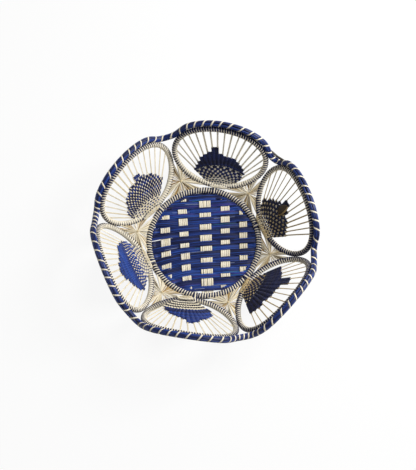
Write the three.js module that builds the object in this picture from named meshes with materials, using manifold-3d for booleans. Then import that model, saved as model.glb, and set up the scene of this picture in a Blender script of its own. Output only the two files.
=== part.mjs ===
// A shallow six-petal basket of iraca palm on a wire frame.
// A wrapped base ring holds a plain-woven mat. Six wrapped hoops lean outward from it as petals.
// Each petal carries a fan of strands with a woven motif. Palm stars fill the gaps between
// neighbouring petals and the ring, and a thick rim with a spiral lashing runs round the crowns.
// Millimetres and degrees, +Z up. The basket stands on the flat underside of its base ring.
import * as THREE from "three";
import { mergeVertices } from "three/addons/utils/BufferGeometryUtils.js";
import Module from "manifold-3d";

const wasm = await Module();
wasm.setup();

// Driving dimensions
const FIT = 0.3; // gap left between pieces that lie against each other
const WIRE_FIT = 0.5; // gap between a wire and the wrapping round it
const SPLICE_GAP = 0.8; // gap between the two ends of a wire or of a wrapping

const BASE_RADIUS = 72; // centreline of the base ring
const BASE_TUBE = 8; // wrapped base ring, across its flats
const BASE_WIRE = 3;

const WARP_SHARES = [-0.725, -0.4, 0.015, 0.385, 0.712]; // places of the warps, in base radii
const WARP_WIDTHS = [0.172, 0.164, 0.21, 0.164, 0.144]; // their widths, in base radii
const WEFT_COUNT = 17;
const WEFT_PITCH = BASE_RADIUS / 9.6; // the rows fill the ring whatever its size
const WEFT_WIDTH = WEFT_PITCH - 1.1;
const WEFT_SKEW = 4; // the rows climb this much towards +X
const WEFT_FOLD = 3; // length of the fold where a weft doubles back at the ring
const WEFT_FOLDS = 3; // wefts that double back, all in the middle of the mat
const SPLINT = 0.9; // thickness of a palm splint in the mat

const SECTOR_BOUNDS = [47.5, 110.5, 172, 232, 290.5, 348]; // azimuths of the lines between petals
const PETAL_SLANT = 85; // hoop centreline from foot to crown, along a petal of middling length
const PETAL_SHARES = [0.976, 0.965, 1.004, 1.012, 1.028, 0.955]; // length of each petal, in slants
const PETAL_FOOT_SLOPES = [43, 29.5, 28.5, 26, 21.5, 24]; // each hoop is bent by hand into its own curve
const PETAL_CROWN_SLOPES = [57, 67, 76, 71, 70.5, 68.5];
const PETAL_EGG = 0.06; // share by which the crown half of a hoop is wider than the foot half
const FOOT_LIFT = 30; // direction from the base ring's centre to a hoop's foot, above the horizon
const HOOP_TUBE = 5.8; // wrapped hoop, across its corners
const HOOP_WIRE = 2.4;

const TIE_WIDTH = 5;
const TIE_THICKNESS = 0.9;
const TIE_FIT = 0.6; // looser, because the tubes it holds bend
const TIE_START = 150; // where a tie begins on the base ring, past its top

const SPOKE_COUNT = 17;
const SPOKE_WIDTH = 1.5; // strand of a fan
const SPOKE_THICKNESS = 0.9;
const FAN_SHIFTS = [-5, 9.5, -5.5, -12.5, -18, -19.5]; // from a hoop's foot, sideways to its fan's foot
const FAN_AIMS = [2, -4.5, 8, 6, 18, 21]; // degrees that a fan is turned back towards its petal's middle
const FAN_HALF_ANGLES = [53, 52, 46, 52, 43.5, 41];
const FAN_SINK = 2.5; // the strands run together this far below the hoop's centreline
const KNOT_DEPTH = 4; // dense foot of a fan, where its strands are drawn together, at its sides
const KNOT_FILL = 0.75; // share of the room that each strand takes up in that foot
const WEAVE_THICKNESS = 0.8;
const WEAVE_SIDE = 38; // woven motif at its sides, measured from the foot of the fan
const WEAVE_STEP = 3.4; // height of each stair of its edge
const WEAVE_TOWER = 7; // height of the tower in the middle of the edge
const STAIR_CELLS = 2; // strand gaps that each stair spans

const STAR_STRANDS = 5; // strands of a star that reach each of its three neighbours
const STAR_STRAND = 1.3;
const STAR_THICKNESS = 1;
const STAR_KNOT = 3; // radius of a star's knot
const STAR_PLACE = 0.27; // share of the way from the ring to where two hoops meet
const STAR_RING_SPREAD = 15; // degrees of the base ring that a star's strands reach, each way
const STAR_HOOP_SPREAD = 34; // degrees of a hoop, from the meeting point down

const RIM_TUBE = 7.6; // wrapped rim, across its corners
const RIM_WIRE = 3;
const RIM_NOTCH = 18; // span of the bend between two petals
const RIM_TURN = 8; // how far the rim sits round towards the outside of the hoops
const RIM_CHORD = 0.5; // room for the flat steps of the rim along the round hoops
const LASH_TURNS = 84;
const LASH_WIDTH = 2;
const LASH_THICKNESS = 0.7;
const LASH_FIT = 0.6; // gap between the lashing and the rim that it goes round
const LASH_MARGIN = 0.3; // rim steps left free at each end of the lashing

// Steps of the faceted solids
const BASE_STEPS = 30;
const HOOP_STEPS = 20;
const RIM_STEPS = 72;
const RIM_SIDES = 6;
const RIM_POINTS = 7; // points of the rim that follow each hoop
const CURVE_POINTS = 120; // points that carry a smooth closed curve
const TIE_STEPS = 5; // steps of a tie round a hoop
const FAN_STEP = 0.1; // steps by which a fan's strands feel for their hoop
const PROBE_STEPS = 12; // points between two steps of a tube, where strands feel for it

const PETAL_COUNT = SECTOR_BOUNDS.length;
const SPLICE_SECTOR = 4; // the rim's ends meet on this line between petals

const palmNatural = new THREE.MeshStandardMaterial({ color: 0xd8c59a, roughness: 0.75, metalness: 0 });
const palmBlue = new THREE.MeshStandardMaterial({ color: 0x24357f, roughness: 0.6, metalness: 0 });
const palmStriped = new THREE.MeshStandardMaterial({ color: 0x8f8a86, roughness: 0.7, metalness: 0 });
const ironWire = new THREE.MeshStandardMaterial({ color: 0x6d6a66, roughness: 0.5, metalness: 1 });

const basket = new THREE.Group();
const rad = THREE.MathUtils.degToRad;

function addPiece(name, geometry, material) {
  const mesh = new THREE.Mesh(geometry, material);
  mesh.name = name;
  basket.add(mesh);
}

// Solids and booleans

function toSolid(geometry) {
  const bare = new THREE.BufferGeometry().setAttribute("position", geometry.getAttribute("position"));
  if (geometry.index) bare.setIndex(geometry.index);
  const merged = mergeVertices(bare, 1e-4);
  return new wasm.Manifold(
    new wasm.Mesh({
      numProp: 3,
      vertProperties: new Float32Array(merged.getAttribute("position").array),
      triVerts: new Uint32Array(merged.index.array),
    }),
  );
}

function toGeometry(solid) {
  const mesh = solid.getMesh();
  return new THREE.BufferGeometry()
    .setAttribute("position", new THREE.BufferAttribute(new Float32Array(mesh.vertProperties), 3))
    .setIndex(new THREE.BufferAttribute(new Uint32Array(mesh.triVerts), 1));
}

function polygon(radius, sides, turn = 0) {
  return Array.from({ length: sides }, (_, i) => {
    const a = rad(turn) + (i / sides) * 2 * Math.PI;
    return new THREE.Vector2(radius * Math.cos(a), radius * Math.sin(a));
  });
}

// A solid tube along an open path, or a pipe where a bore is given.
function tube(path, steps, section, bore) {
  const shape = new THREE.Shape(section);
  if (bore) shape.holes.push(new THREE.Path(bore));
  return new THREE.ExtrudeGeometry(shape, { extrudePath: path, steps, bevelEnabled: false });
}

function wireSection(diameter) {
  return polygon(diameter / 2, 4);
}

function wireBore(diameter) {
  return polygon(diameter / 2 + WIRE_FIT * Math.SQRT2, 4);
}

// A closed curve cut open by a small gap at its start, as a wire bent round to meet itself.
function splicedPath(pointAt) {
  const around = Array.from({ length: CURVE_POINTS }, (_, i) => pointAt(i / CURVE_POINTS));
  const closed = new THREE.CatmullRomCurve3(around, true, "centripetal");
  const end = SPLICE_GAP / 2 / closed.getLength();
  const open = Array.from({ length: CURVE_POINTS + 1 }, (_, i) =>
    closed.getPointAt(THREE.MathUtils.lerp(end, 1 - end, i / CURVE_POINTS)),
  );
  return new THREE.CatmullRomCurve3(open, false, "centripetal");
}

// Centreline of a tube as it is stepped, with points close enough for strands to feel for it.
function steppedCentre(path, steps, radius) {
  const corners = path.getSpacedPoints(steps);
  const points = corners.slice(1).flatMap((to, i) =>
    Array.from({ length: PROBE_STEPS }, (_, k) => corners[i].clone().lerp(to, k / PROBE_STEPS)),
  );
  return { points, radius };
}

// Point where a strand that leaves a place in a direction comes to rest against one of the tubes.
function restingPoint(from, direction, tubes, diameter) {
  const step = 0.15;
  const probe = from.clone();
  const isClear = ({ points, radius }) => {
    const rest = radius + FIT + diameter / 2;
    return points.every((p) => p.distanceToSquared(probe) > rest ** 2);
  };
  for (let length = 0; length < 3 * PETAL_SLANT && tubes.every(isClear); length += step) {
    probe.copy(from).addScaledVector(direction, length);
  }
  return probe.addScaledVector(direction, -step);
}

// A thin sheet on a grid of cells, open or closed round into a disc. corner(i, j, side) is a grid
// point on its upper (1) or lower (-1) face. Corners that coincide are shared.
function sheet(columns, rows, present, corner, closed = false) {
  const places = new Map();
  const positions = [];
  const triangles = [];
  const turn = (i) => (closed ? (i + columns) % columns : i);
  const filled = (i, j) => i >= 0 && j >= 0 && i < columns && j < rows && present(i, j);
  const at = (i, j, side) => {
    const spot = corner(turn(i), j, side).toArray();
    const key = spot.map((value) => value.toFixed(4)).join(" ");
    if (!places.has(key)) {
      places.set(key, positions.length / 3);
      positions.push(...spot);
    }
    return places.get(key);
  };
  const triangle = (a, b, c) => {
    if (a !== b && b !== c && c !== a) triangles.push(a, b, c);
  };
  const quad = (a, b, c, d) => {
    triangle(a, b, c);
    triangle(a, c, d);
  };
  const wall = (i0, j0, i1, j1) => quad(at(i0, j0, -1), at(i1, j1, -1), at(i1, j1, 1), at(i0, j0, 1));
  for (let i = 0; i < columns; i++) {
    for (let j = 0; j < rows; j++) {
      if (!filled(i, j)) continue;
      quad(at(i, j, 1), at(i + 1, j, 1), at(i + 1, j + 1, 1), at(i, j + 1, 1));
      quad(at(i, j, -1), at(i, j + 1, -1), at(i + 1, j + 1, -1), at(i + 1, j, -1));
      if (!filled(i, j - 1)) wall(i, j, i + 1, j);
      if (!filled(turn(i + 1), j)) wall(i + 1, j, i + 1, j + 1);
      if (!filled(i, j + 1)) wall(i + 1, j + 1, i, j + 1);
      if (!filled(turn(i - 1), j)) wall(i, j + 1, i, j);
    }
  }
  return new THREE.BufferGeometry()
    .setAttribute("position", new THREE.Float32BufferAttribute(positions, 3))
    .setIndex(triangles);
}

// Base ring

const baseHeight = BASE_TUBE / 2; // the ring's underside lies on the table
const baseCorner = BASE_TUBE / 2 / Math.cos(Math.PI / 8);

function basePoint(azimuth) {
  return new THREE.Vector3(BASE_RADIUS * Math.cos(azimuth), BASE_RADIUS * Math.sin(azimuth), baseHeight);
}

const basePath = splicedPath((t) => basePoint(rad(SECTOR_BOUNDS[SPLICE_SECTOR]) + t * 2 * Math.PI));
const baseTube = steppedCentre(basePath, BASE_STEPS, baseCorner);

function addBaseRing() {
  addPiece("base_ring_wire", tube(basePath, BASE_STEPS, wireSection(BASE_WIRE)), ironWire);
  const flatSided = polygon(baseCorner, 8, 22.5);
  addPiece("base_ring_wrap", tube(basePath, BASE_STEPS, flatSided, wireBore(BASE_WIRE)), palmStriped);
}

// Woven mat: natural warps along Y, blue wefts across them, each over one and under the next

const matRadius = (BASE_RADIUS - BASE_TUBE / 2) * Math.cos(Math.PI / BASE_STEPS) - FIT;
const matOutline = toSolid(
  new THREE.CylinderGeometry(matRadius, matRadius, BASE_TUBE, 2 * BASE_STEPS)
    .rotateX(Math.PI / 2)
    .translate(0, 0, baseHeight),
);
const wave = (SPLINT + FIT) / 2; // rise and fall of a splint at each crossing
const skew = rad(WEFT_SKEW);
const evenly = (count, pitch) => Array.from({ length: count }, (_, i) => (i - (count - 1) / 2) * pitch);
const warpPlaces = WARP_SHARES.map((share) => share * BASE_RADIUS);
const warpWidths = WARP_WIDTHS.map((share) => share * BASE_RADIUS);
const weftPlaces = evenly(WEFT_COUNT, WEFT_PITCH);
const weftWidths = weftPlaces.map(() => WEFT_WIDTH);
const weftHeight = (row, column) => ((row + column) % 2 === 0 ? wave : -wave);

function matPoint(warpLine, weftLine, height, side) {
  const y = (weftLine + warpLine * Math.sin(skew)) / Math.cos(skew);
  return new THREE.Vector3(warpLine, y, baseHeight + height + (side * SPLINT) / 2);
}

// Stations of a splint: level across each crossing and sloping between, out past the ring.
function crossingStations(places, widths, heightAt) {
  const level = widths.map((width) => width / 2 + FIT / 2);
  const steps = places.flatMap((place, i) => [
    { at: place - level[i], height: heightAt(i) },
    { at: place + level[i], height: heightAt(i) },
  ]);
  const first = { at: Math.min(-BASE_RADIUS, steps[0].at) - BASE_TUBE, height: steps[0].height };
  const last = { at: Math.max(BASE_RADIUS, steps.at(-1).at) + BASE_TUBE, height: steps.at(-1).height };
  return [first, ...steps, last];
}

function addMatPiece(name, geometry, material) {
  addPiece(name, toGeometry(toSolid(geometry).intersect(matOutline)), material);
}

function addWarps() {
  warpPlaces.forEach((place, column) => {
    const stations = crossingStations(weftPlaces, weftWidths, (row) => -weftHeight(row, column));
    const corner = (i, j, side) =>
      matPoint(place + (j - 0.5) * -warpWidths[column], stations[i].at, stations[i].height, side);
    const splint = sheet(stations.length - 1, 1, () => true, corner);
    addMatPiece(`base_warp_${column + 1}`, splint, palmNatural);
  });
}

// A weft crosses the mat once. One of two rows doubles back at the ring, ahead or behind.
function addWeft(name, rows, ahead) {
  const lanes = rows.map((row) => ({
    place: weftPlaces[row],
    stations: crossingStations(warpPlaces, warpWidths, (column) => weftHeight(row, column)),
  }));
  const turn = lanes.length > 1 ? (lanes[0].place + lanes[1].place) / 2 : 0;
  const foldAt = Math.sqrt(matRadius ** 2 - turn ** 2) - WEFT_FOLD - Math.abs(turn * Math.sin(skew));
  for (const { stations } of lanes) {
    const end = ahead ? stations.length - 1 : 0;
    const height = stations[end].height;
    stations.splice(ahead ? end : 1, 0, { at: ahead ? foldAt : -foldAt, height });
  }
  const columns = lanes[0].stations.length - 1;
  const corner = (i, j, side) => {
    const { place, stations } = lanes[Math.floor(j / 2)];
    const line = place + ((j % 2) - 0.5) * WEFT_WIDTH;
    return matPoint(stations[i].at, line, stations[i].height, side);
  };
  const present = (i, j) => j % 2 === 0 || i === (ahead ? columns - 1 : 0);
  addMatPiece(name, sheet(columns, 2 * lanes.length - 1, present, corner), palmBlue);
}

function addWefts() {
  const firstFolded = Math.floor(WEFT_COUNT / 2) - WEFT_FOLDS + 1;
  let row = 0;
  for (let number = 1; row < WEFT_COUNT; number++) {
    const folds = row >= firstFolded && row < firstFolded + 2 * WEFT_FOLDS;
    const rows = folds ? [row, row + 1] : [row];
    addWeft(`base_weft_${number}`, rows, number % 2 === 0);
    row += rows.length;
  }
}

// Petals: each leans out from its foot on the base ring and steepens towards its crown

const footReach = baseCorner + FIT + HOOP_TUBE / 2;
const footRadius = BASE_RADIUS + footReach * Math.cos(rad(FOOT_LIFT));
const footHeight = baseHeight + footReach * Math.sin(rad(FOOT_LIFT));
const knotEdge = HOOP_TUBE / 2 + TIE_FIT + TIE_THICKNESS + FIT; // a fan's foot, above the hoop's foot

class Petal {
  constructor(index) {
    const start = SECTOR_BOUNDS[index];
    const end = SECTOR_BOUNDS[(index + 1) % PETAL_COUNT] + (index + 1 < PETAL_COUNT ? 0 : 360);
    const axis = rad((start + end) / 2);
    this.number = index + 1;
    this.slant = PETAL_SLANT * PETAL_SHARES[index];
    this.footSlope = rad(PETAL_FOOT_SLOPES[index]);
    this.bend = Math.max(1e-5, (rad(PETAL_CROWN_SLOPES[index]) - this.footSlope) / this.slant);
    this.spread = rad((end - start) / 2);
    this.out = new THREE.Vector3(Math.cos(axis), Math.sin(axis), 0);
    this.ahead = new THREE.Vector3(-Math.sin(axis), Math.cos(axis), 0);
    this.half = Infinity;
    for (let u = -80; u <= 80; u++) {
      const { y, width } = this.ovalAt(rad(u), 1);
      const room = this.slantAt(y).radius * Math.tan(this.spread);
      const half = (room - (HOOP_TUBE + FIT) / 2 / Math.cos(this.spread)) / width;
      if (half < this.half) {
        this.half = half;
        this.meeting = rad(u);
      }
    }
    this.edge = Array.from({ length: CURVE_POINTS }, (_, i) => this.ovalAt((2 * Math.PI * i) / CURVE_POINTS));
    this.path = splicedPath((t) => this.hoopPoint((2 * t - 0.5) * Math.PI));
    this.tube = steppedCentre(this.path, HOOP_STEPS, HOOP_TUBE / 2);
  }

  ovalAt(u, half = this.half) {
    const width = half * Math.cos(u) * (1 + PETAL_EGG * Math.sin(u));
    return { x: width, y: (this.slant / 2) * (1 + Math.sin(u)), width };
  }

  // Whether a place on the petal lies inside its hoop, with a gap to the hoop's centreline.
  holds(x, y, gap) {
    const rise = (2 * y) / this.slant - 1;
    if (Math.abs(rise) >= 1 || Math.abs(x) >= this.ovalAt(Math.asin(rise)).width) return false;
    return this.edge.every((spot) => Math.hypot(spot.x - x, spot.y - y) >= gap);
  }

  // Middle line of the petal at a length along its slant.
  slantAt(y) {
    const slope = this.footSlope + this.bend * y;
    const radius = footRadius + (Math.sin(slope) - Math.sin(this.footSlope)) / this.bend;
    const height = footHeight + (Math.cos(this.footSlope) - Math.cos(slope)) / this.bend;
    return { slope, radius, height };
  }

  point(x, y) {
    const { radius, height } = this.slantAt(y);
    return this.out.clone().multiplyScalar(radius).addScaledVector(this.ahead, x).setZ(height);
  }

  hoopPoint(u) {
    const { x, y } = this.ovalAt(u);
    return this.point(x, y);
  }

  // Direction up the slant, and the face that looks into the basket.
  directionsAt(y) {
    const { slope } = this.slantAt(y);
    const up = this.out.clone().multiplyScalar(Math.cos(slope)).setZ(Math.sin(slope));
    const face = this.out.clone().multiplyScalar(-Math.sin(slope)).setZ(Math.cos(slope));
    return { up, face };
  }
}

const petals = SECTOR_BOUNDS.map((_, index) => new Petal(index));

function addHoop(petal) {
  const name = `petal_${petal.number}`;
  addPiece(`${name}_wire`, tube(petal.path, HOOP_STEPS, wireSection(HOOP_WIRE)), ironWire);
  const section = polygon(HOOP_TUBE / 2, 6);
  addPiece(`${name}_wrap`, tube(petal.path, HOOP_STEPS, section, wireBore(HOOP_WIRE)), palmNatural);
}

// A tie lies over the base ring and round the hoop's foot, and stops short of the table.
function addTie(petal) {
  const ring = new THREE.Vector2(BASE_RADIUS, baseHeight);
  const foot = new THREE.Vector2(footRadius, footHeight);
  const ringRadius = baseCorner + TIE_FIT;
  const hoopRadius = HOOP_TUBE / 2 + TIE_FIT;
  const lift = rad(FOOT_LIFT);
  const tangent = Math.acos((ringRadius - hoopRadius) / footReach);
  const onCircle = (centre, radius, a) =>
    new THREE.Vector2(centre.x + radius * Math.cos(a), centre.y + radius * Math.sin(a));
  const arc = (centre, radius, from, to, steps) =>
    Array.from({ length: steps + 1 }, (_, i) =>
      onCircle(centre, radius, THREE.MathUtils.lerp(from, to, i / steps)),
    );
  const line = (extra) => {
    const over = arc(ring, ringRadius + extra, rad(TIE_START), lift + tangent, 2);
    const round = arc(foot, hoopRadius + extra, lift + tangent, lift - tangent, TIE_STEPS);
    const under = onCircle(ring, ringRadius + extra, lift - tangent);
    return [...over, ...round, round.at(-1).clone().lerp(under, 0.7)];
  };
  const shape = new THREE.Shape([...line(TIE_THICKNESS), ...line(0).reverse()]);
  const placed = new THREE.Matrix4().makeBasis(
    petal.out,
    new THREE.Vector3(0, 0, 1),
    petal.ahead.clone().negate(),
  );
  const band = new THREE.ExtrudeGeometry(shape, { depth: TIE_WIDTH, bevelEnabled: false })
    .translate(0, 0, -TIE_WIDTH / 2)
    .applyMatrix4(placed);
  addPiece(`petal_${petal.number}_tie`, band, palmBlue);
}

// Fan: straight strands from a dense knot at the petal's foot out to the hoop. The woven motif is
// a stepped sheet between the strands that pass in front of it and those that pass behind it.
function fanStrands(petal) {
  const side = FAN_SHIFTS[petal.number - 1];
  const low = (petal.slant / 2) * (1 - Math.sqrt(1 - (side / petal.half) ** 2)) - FAN_SINK;
  const foot = petal.point(side, low);
  const { face } = petal.directionsAt(low);
  const halfAngle = FAN_HALF_ANGLES[petal.number - 1];
  const starts = [];
  const directions = Array.from({ length: SPOKE_COUNT }, (_, i) => {
    const lean = THREE.MathUtils.lerp(halfAngle, -halfAngle, i / (SPOKE_COUNT - 1));
    const a = rad(FAN_AIMS[petal.number - 1] + lean);
    const holds = (t, gap) => petal.holds(side + t * Math.sin(a), low + t * Math.cos(a), gap);
    let near = 0;
    while (near < 2 * PETAL_SLANT && !holds(near, knotEdge)) near += FAN_STEP;
    let far = near;
    while (far < 2 * PETAL_SLANT && holds(far, 0)) far += FAN_STEP;
    starts.push(near);
    return petal
      .point(side + far * Math.sin(a), low + far * Math.cos(a))
      .sub(foot)
      .normalize();
  });
  const normals = directions.map((d, i) => {
    const before = directions[Math.max(0, i - 1)];
    const after = directions[Math.min(SPOKE_COUNT - 1, i + 1)];
    const normal = after.clone().sub(before).cross(d).normalize();
    return normal.dot(face) < 0 ? normal.negate() : normal;
  });
  return { foot, directions, normals, starts };
}

function addFan(petal) {
  const { foot, directions, normals, starts } = fanStrands(petal);
  const layer = (WEAVE_THICKNESS + SPOKE_THICKNESS) / 2 + FIT;
  const onFan = (i, r, offset) =>
    foot.clone().addScaledVector(directions[i], r).addScaledVector(normals[i], offset);
  const gapAngle = (2 * rad(FAN_HALF_ANGLES[petal.number - 1])) / (SPOKE_COUNT - 1);
  const knotRadius = Math.max(...starts) + KNOT_DEPTH;
  const layerOf = (i) => (i % 2 === 0 ? layer : -layer);
  const ends = directions.map((d, i) =>
    restingPoint(onFan(i, knotRadius, layerOf(i)), d, [petal.tube], SPOKE_WIDTH),
  );
  const strandCorner = (column, j, side) => {
    const i = Math.floor(column / 2);
    const r = [starts[i], knotRadius, ends[i].distanceTo(foot)][j];
    const across = directions[i].clone().cross(normals[i]);
    const width = Math.min(SPOKE_WIDTH, KNOT_FILL * gapAngle * r);
    const offset = j === 0 ? 0 : layerOf(i);
    return (j === 2 ? ends[i].clone() : onFan(i, r, offset))
      .addScaledVector(across, ((column % 2) - 0.5) * width)
      .addScaledVector(normals[i], (side * SPOKE_THICKNESS) / 2);
  };
  const isStrand = (column, j) => j === 0 || column % 2 === 0;
  const strands = sheet(2 * SPOKE_COUNT - 1, 2, isStrand, strandCorner);
  addPiece(`petal_${petal.number}_spokes`, strands, palmNatural);

  const cells = SPOKE_COUNT - 1;
  const fromSide = (i) => Math.min(i, cells - 1 - i);
  const middle = Math.floor((cells - 1) / 2);
  const stair = (i) => Math.floor(fromSide(i) / STAIR_CELLS) + (fromSide(i) === middle ? 1 : 0);
  const stairs = stair(middle);
  const levels = Array.from({ length: stairs }, (_, i) => WEAVE_SIDE + i * WEAVE_STEP);
  levels.unshift(knotRadius + 2 * FIT);
  levels.push(WEAVE_SIDE + (stairs - 1) * WEAVE_STEP + WEAVE_TOWER);
  const corner = (i, j, side) => onFan(i, levels[j], (side * WEAVE_THICKNESS) / 2);
  const motif = sheet(cells, stairs + 1, (i, j) => j <= stair(i), corner);
  addPiece(`petal_${petal.number}_weave`, motif, palmBlue);
}

// Stars: strands from a knot out to the base ring and to the two hoops that meet above it

function addStar(index) {
  const behind = petals[(index + PETAL_COUNT - 1) % PETAL_COUNT];
  const ahead = petals[index];
  const azimuth = rad(SECTOR_BOUNDS[index]);
  const meeting = behind.hoopPoint(behind.meeting).lerp(ahead.hoopPoint(Math.PI - ahead.meeting), 0.5);
  const ringSide = basePoint(azimuth).multiplyScalar(1 + BASE_TUBE / 2 / BASE_RADIUS).setZ(footHeight);
  const centre = ringSide.lerp(meeting, STAR_PLACE);
  const shares = Array.from({ length: STAR_STRANDS }, (_, i) => (i + 0.5) / STAR_STRANDS);
  const dropOf = (share) => rad(STAR_HOOP_SPREAD) * Math.sqrt(share);
  const targets = [
    ...shares.map((share) => basePoint(azimuth + rad(STAR_RING_SPREAD) * (2 * share - 1))),
    ...shares.map((share) => ahead.hoopPoint(Math.PI - ahead.meeting + dropOf(1 - share))),
    ...shares.map((share) => behind.hoopPoint(behind.meeting - dropOf(share))),
  ];
  const tubes = [baseTube, behind.tube, ahead.tube];
  const face = ahead.directionsAt(0).face.add(behind.directionsAt(0).face).normalize();
  const rays = targets.map((target) => {
    const along = target.clone().sub(centre).normalize();
    const across = along.clone().cross(face).normalize();
    const from = centre.clone().addScaledVector(along, STAR_KNOT);
    return { along, across, end: restingPoint(from, along, tubes, STAR_STRAND).distanceTo(centre) };
  });
  const turnTo = (i, step) => rays[i].across.angleTo(rays[(i + step + rays.length) % rays.length].across);
  const room = rays.map((_, i) => Math.min(turnTo(i, -1), turnTo(i, 1)));
  const corner = (column, j, side) => {
    const ray = Math.floor(column / 2);
    const { along, across, end } = rays[ray];
    const r = [0, STAR_KNOT, end][j];
    const width = Math.min(STAR_STRAND, KNOT_FILL * room[ray] * r);
    return centre
      .clone()
      .addScaledVector(along, r)
      .addScaledVector(across, ((column % 2) - 0.5) * width)
      .addScaledVector(face, (side * STAR_THICKNESS) / 2);
  };
  const isStrand = (column, j) => j === 0 || column % 2 === 0;
  const star = sheet(2 * rays.length, 2, isStrand, corner, true);
  addPiece(`star_${index + 1}`, star, palmNatural);
}

// Rim: follows the crowns of the hoops and dips between them

const lashLift = LASH_FIT / Math.cos(Math.PI / RIM_SIDES);
const lashOuter = RIM_TUBE / 2 + lashLift + LASH_THICKNESS;
const rimOffset = HOOP_TUBE / 2 + FIT + lashOuter + RIM_CHORD;

function rimPoint(petal, u) {
  const { x, y } = petal.ovalAt(u);
  const next = petal.ovalAt(u + 0.01);
  const out = new THREE.Vector2(next.y - y, x - next.x).setLength(rimOffset * Math.cos(rad(RIM_TURN)));
  const behind = -rimOffset * Math.sin(rad(RIM_TURN));
  return petal.point(x + out.x, y + out.y).addScaledVector(petal.directionsAt(y + out.y).face, behind);
}

function rimCurve() {
  const points = [];
  for (let i = 0; i < PETAL_COUNT; i++) {
    const petal = petals[(SPLICE_SECTOR + i) % PETAL_COUNT];
    const toBound = (u) => {
      const point = rimPoint(petal, u);
      return point.dot(petal.out) * Math.sin(petal.spread) - point.dot(petal.ahead) * Math.cos(petal.spread);
    };
    let start = petal.meeting;
    while (start < 1.4 && toBound(start) < RIM_NOTCH / 2) start += 0.01;
    for (let k = 0; k < RIM_POINTS; k++) {
      points.push(rimPoint(petal, THREE.MathUtils.lerp(Math.PI - start, start, k / (RIM_POINTS - 1))));
    }
  }
  return new THREE.CatmullRomCurve3(points, true, "centripetal");
}

function addRim() {
  const curve = rimCurve();
  const path = splicedPath((t) => curve.getPointAt(t));
  const section = polygon(RIM_TUBE / 2, RIM_SIDES);
  addPiece("rim_wire", tube(path, RIM_STEPS, wireSection(RIM_WIRE)), ironWire);
  addPiece("rim_wrap", tube(path, RIM_STEPS, section, wireBore(RIM_WIRE)), palmBlue);
  addLashing(path, section);
}

// The lashing folds over the corners of the rim's section, one unbroken strand from end to end.
function addLashing(path, section) {
  const centres = path.getSpacedPoints(RIM_STEPS);
  const frames = path.computeFrenetFrames(RIM_STEPS, false);
  const spot = (step, corner) =>
    centres[step]
      .clone()
      .addScaledVector(frames.normals[step], corner.x)
      .addScaledVector(frames.binormals[step], corner.y);
  const folds = LASH_TURNS * RIM_SIDES;
  const positions = [];
  const middles = [];
  for (let fold = 0; fold <= folds; fold++) {
    const place = THREE.MathUtils.lerp(LASH_MARGIN, RIM_STEPS - LASH_MARGIN, fold / folds);
    const step = Math.min(RIM_STEPS - 1, Math.floor(place));
    const corner = section[(folds - fold) % RIM_SIDES];
    const centre = centres[step].clone().lerp(centres[step + 1], place - step);
    const outward = spot(step, corner).lerp(spot(step + 1, corner), place - step).sub(centre).normalize();
    const along = centres[step].clone().sub(centres[step + 1]).normalize().multiplyScalar(LASH_WIDTH / 2);
    const inner = centre.clone().addScaledVector(outward, RIM_TUBE / 2 + lashLift);
    const ridge = centre.clone().addScaledVector(outward, lashOuter);
    positions.push(...inner.clone().sub(along).toArray());
    positions.push(...inner.clone().add(along).toArray());
    positions.push(...ridge.toArray());
    middles.push(inner.lerp(ridge, 0.5));
  }
  const triangles = [0, 2, 1];
  for (let fold = 0; fold < folds; fold++) {
    for (let k = 0; k < 3; k++) {
      const a = 3 * fold + k;
      const b = 3 * fold + ((k + 1) % 3);
      triangles.push(a, b, a + 3, b, b + 3, a + 3);
    }
  }
  triangles.push(3 * folds, 3 * folds + 1, 3 * folds + 2);
  reportTurnGap(middles);
  const lashing = new THREE.BufferGeometry()
    .setAttribute("position", new THREE.Float32BufferAttribute(positions, 3))
    .setIndex(triangles);
  addPiece("rim_lashing", lashing, palmNatural);
}

// Least gap of the lashing to itself, from points along it that are most of a turn apart or more.
function reportTurnGap(middles) {
  let least = Infinity;
  for (let i = 0; i < middles.length; i++) {
    for (let j = i + RIM_SIDES - 1; j < middles.length; j++) {
      least = Math.min(least, middles[i].distanceTo(middles[j]));
    }
  }
  console.log(`least gap between turns of the lashing: ${(least - LASH_WIDTH).toFixed(2)} mm`);
}

addBaseRing();
addWarps();
addWefts();
for (const petal of petals) {
  addHoop(petal);
  addTie(petal);
  addFan(petal);
}
SECTOR_BOUNDS.forEach((_, index) => addStar(index));
addRim();

// The origin lies under the middle of the whole basket.
const middle = new THREE.Box3().setFromObject(basket).getCenter(new THREE.Vector3());
for (const mesh of basket.children) mesh.geometry.translate(-middle.x, -middle.y, 0);

export default basket;
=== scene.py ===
"""Looks of an iraca palm basket: each wrapped, woven and tied strand is its own strip of palm.

The frame is a wire ring, six wire hoops and a wavy wire rim. Lengths are millimetres here and become
metres when a piece is built. Azimuths are degrees, counter-clockwise from +X seen from above. A tint is
the place of a strand's colour in its finish, from 0 to 1.
"""

import logging
import math
import random
from collections.abc import Sequence
from dataclasses import dataclass, field
from enum import Enum

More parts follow.
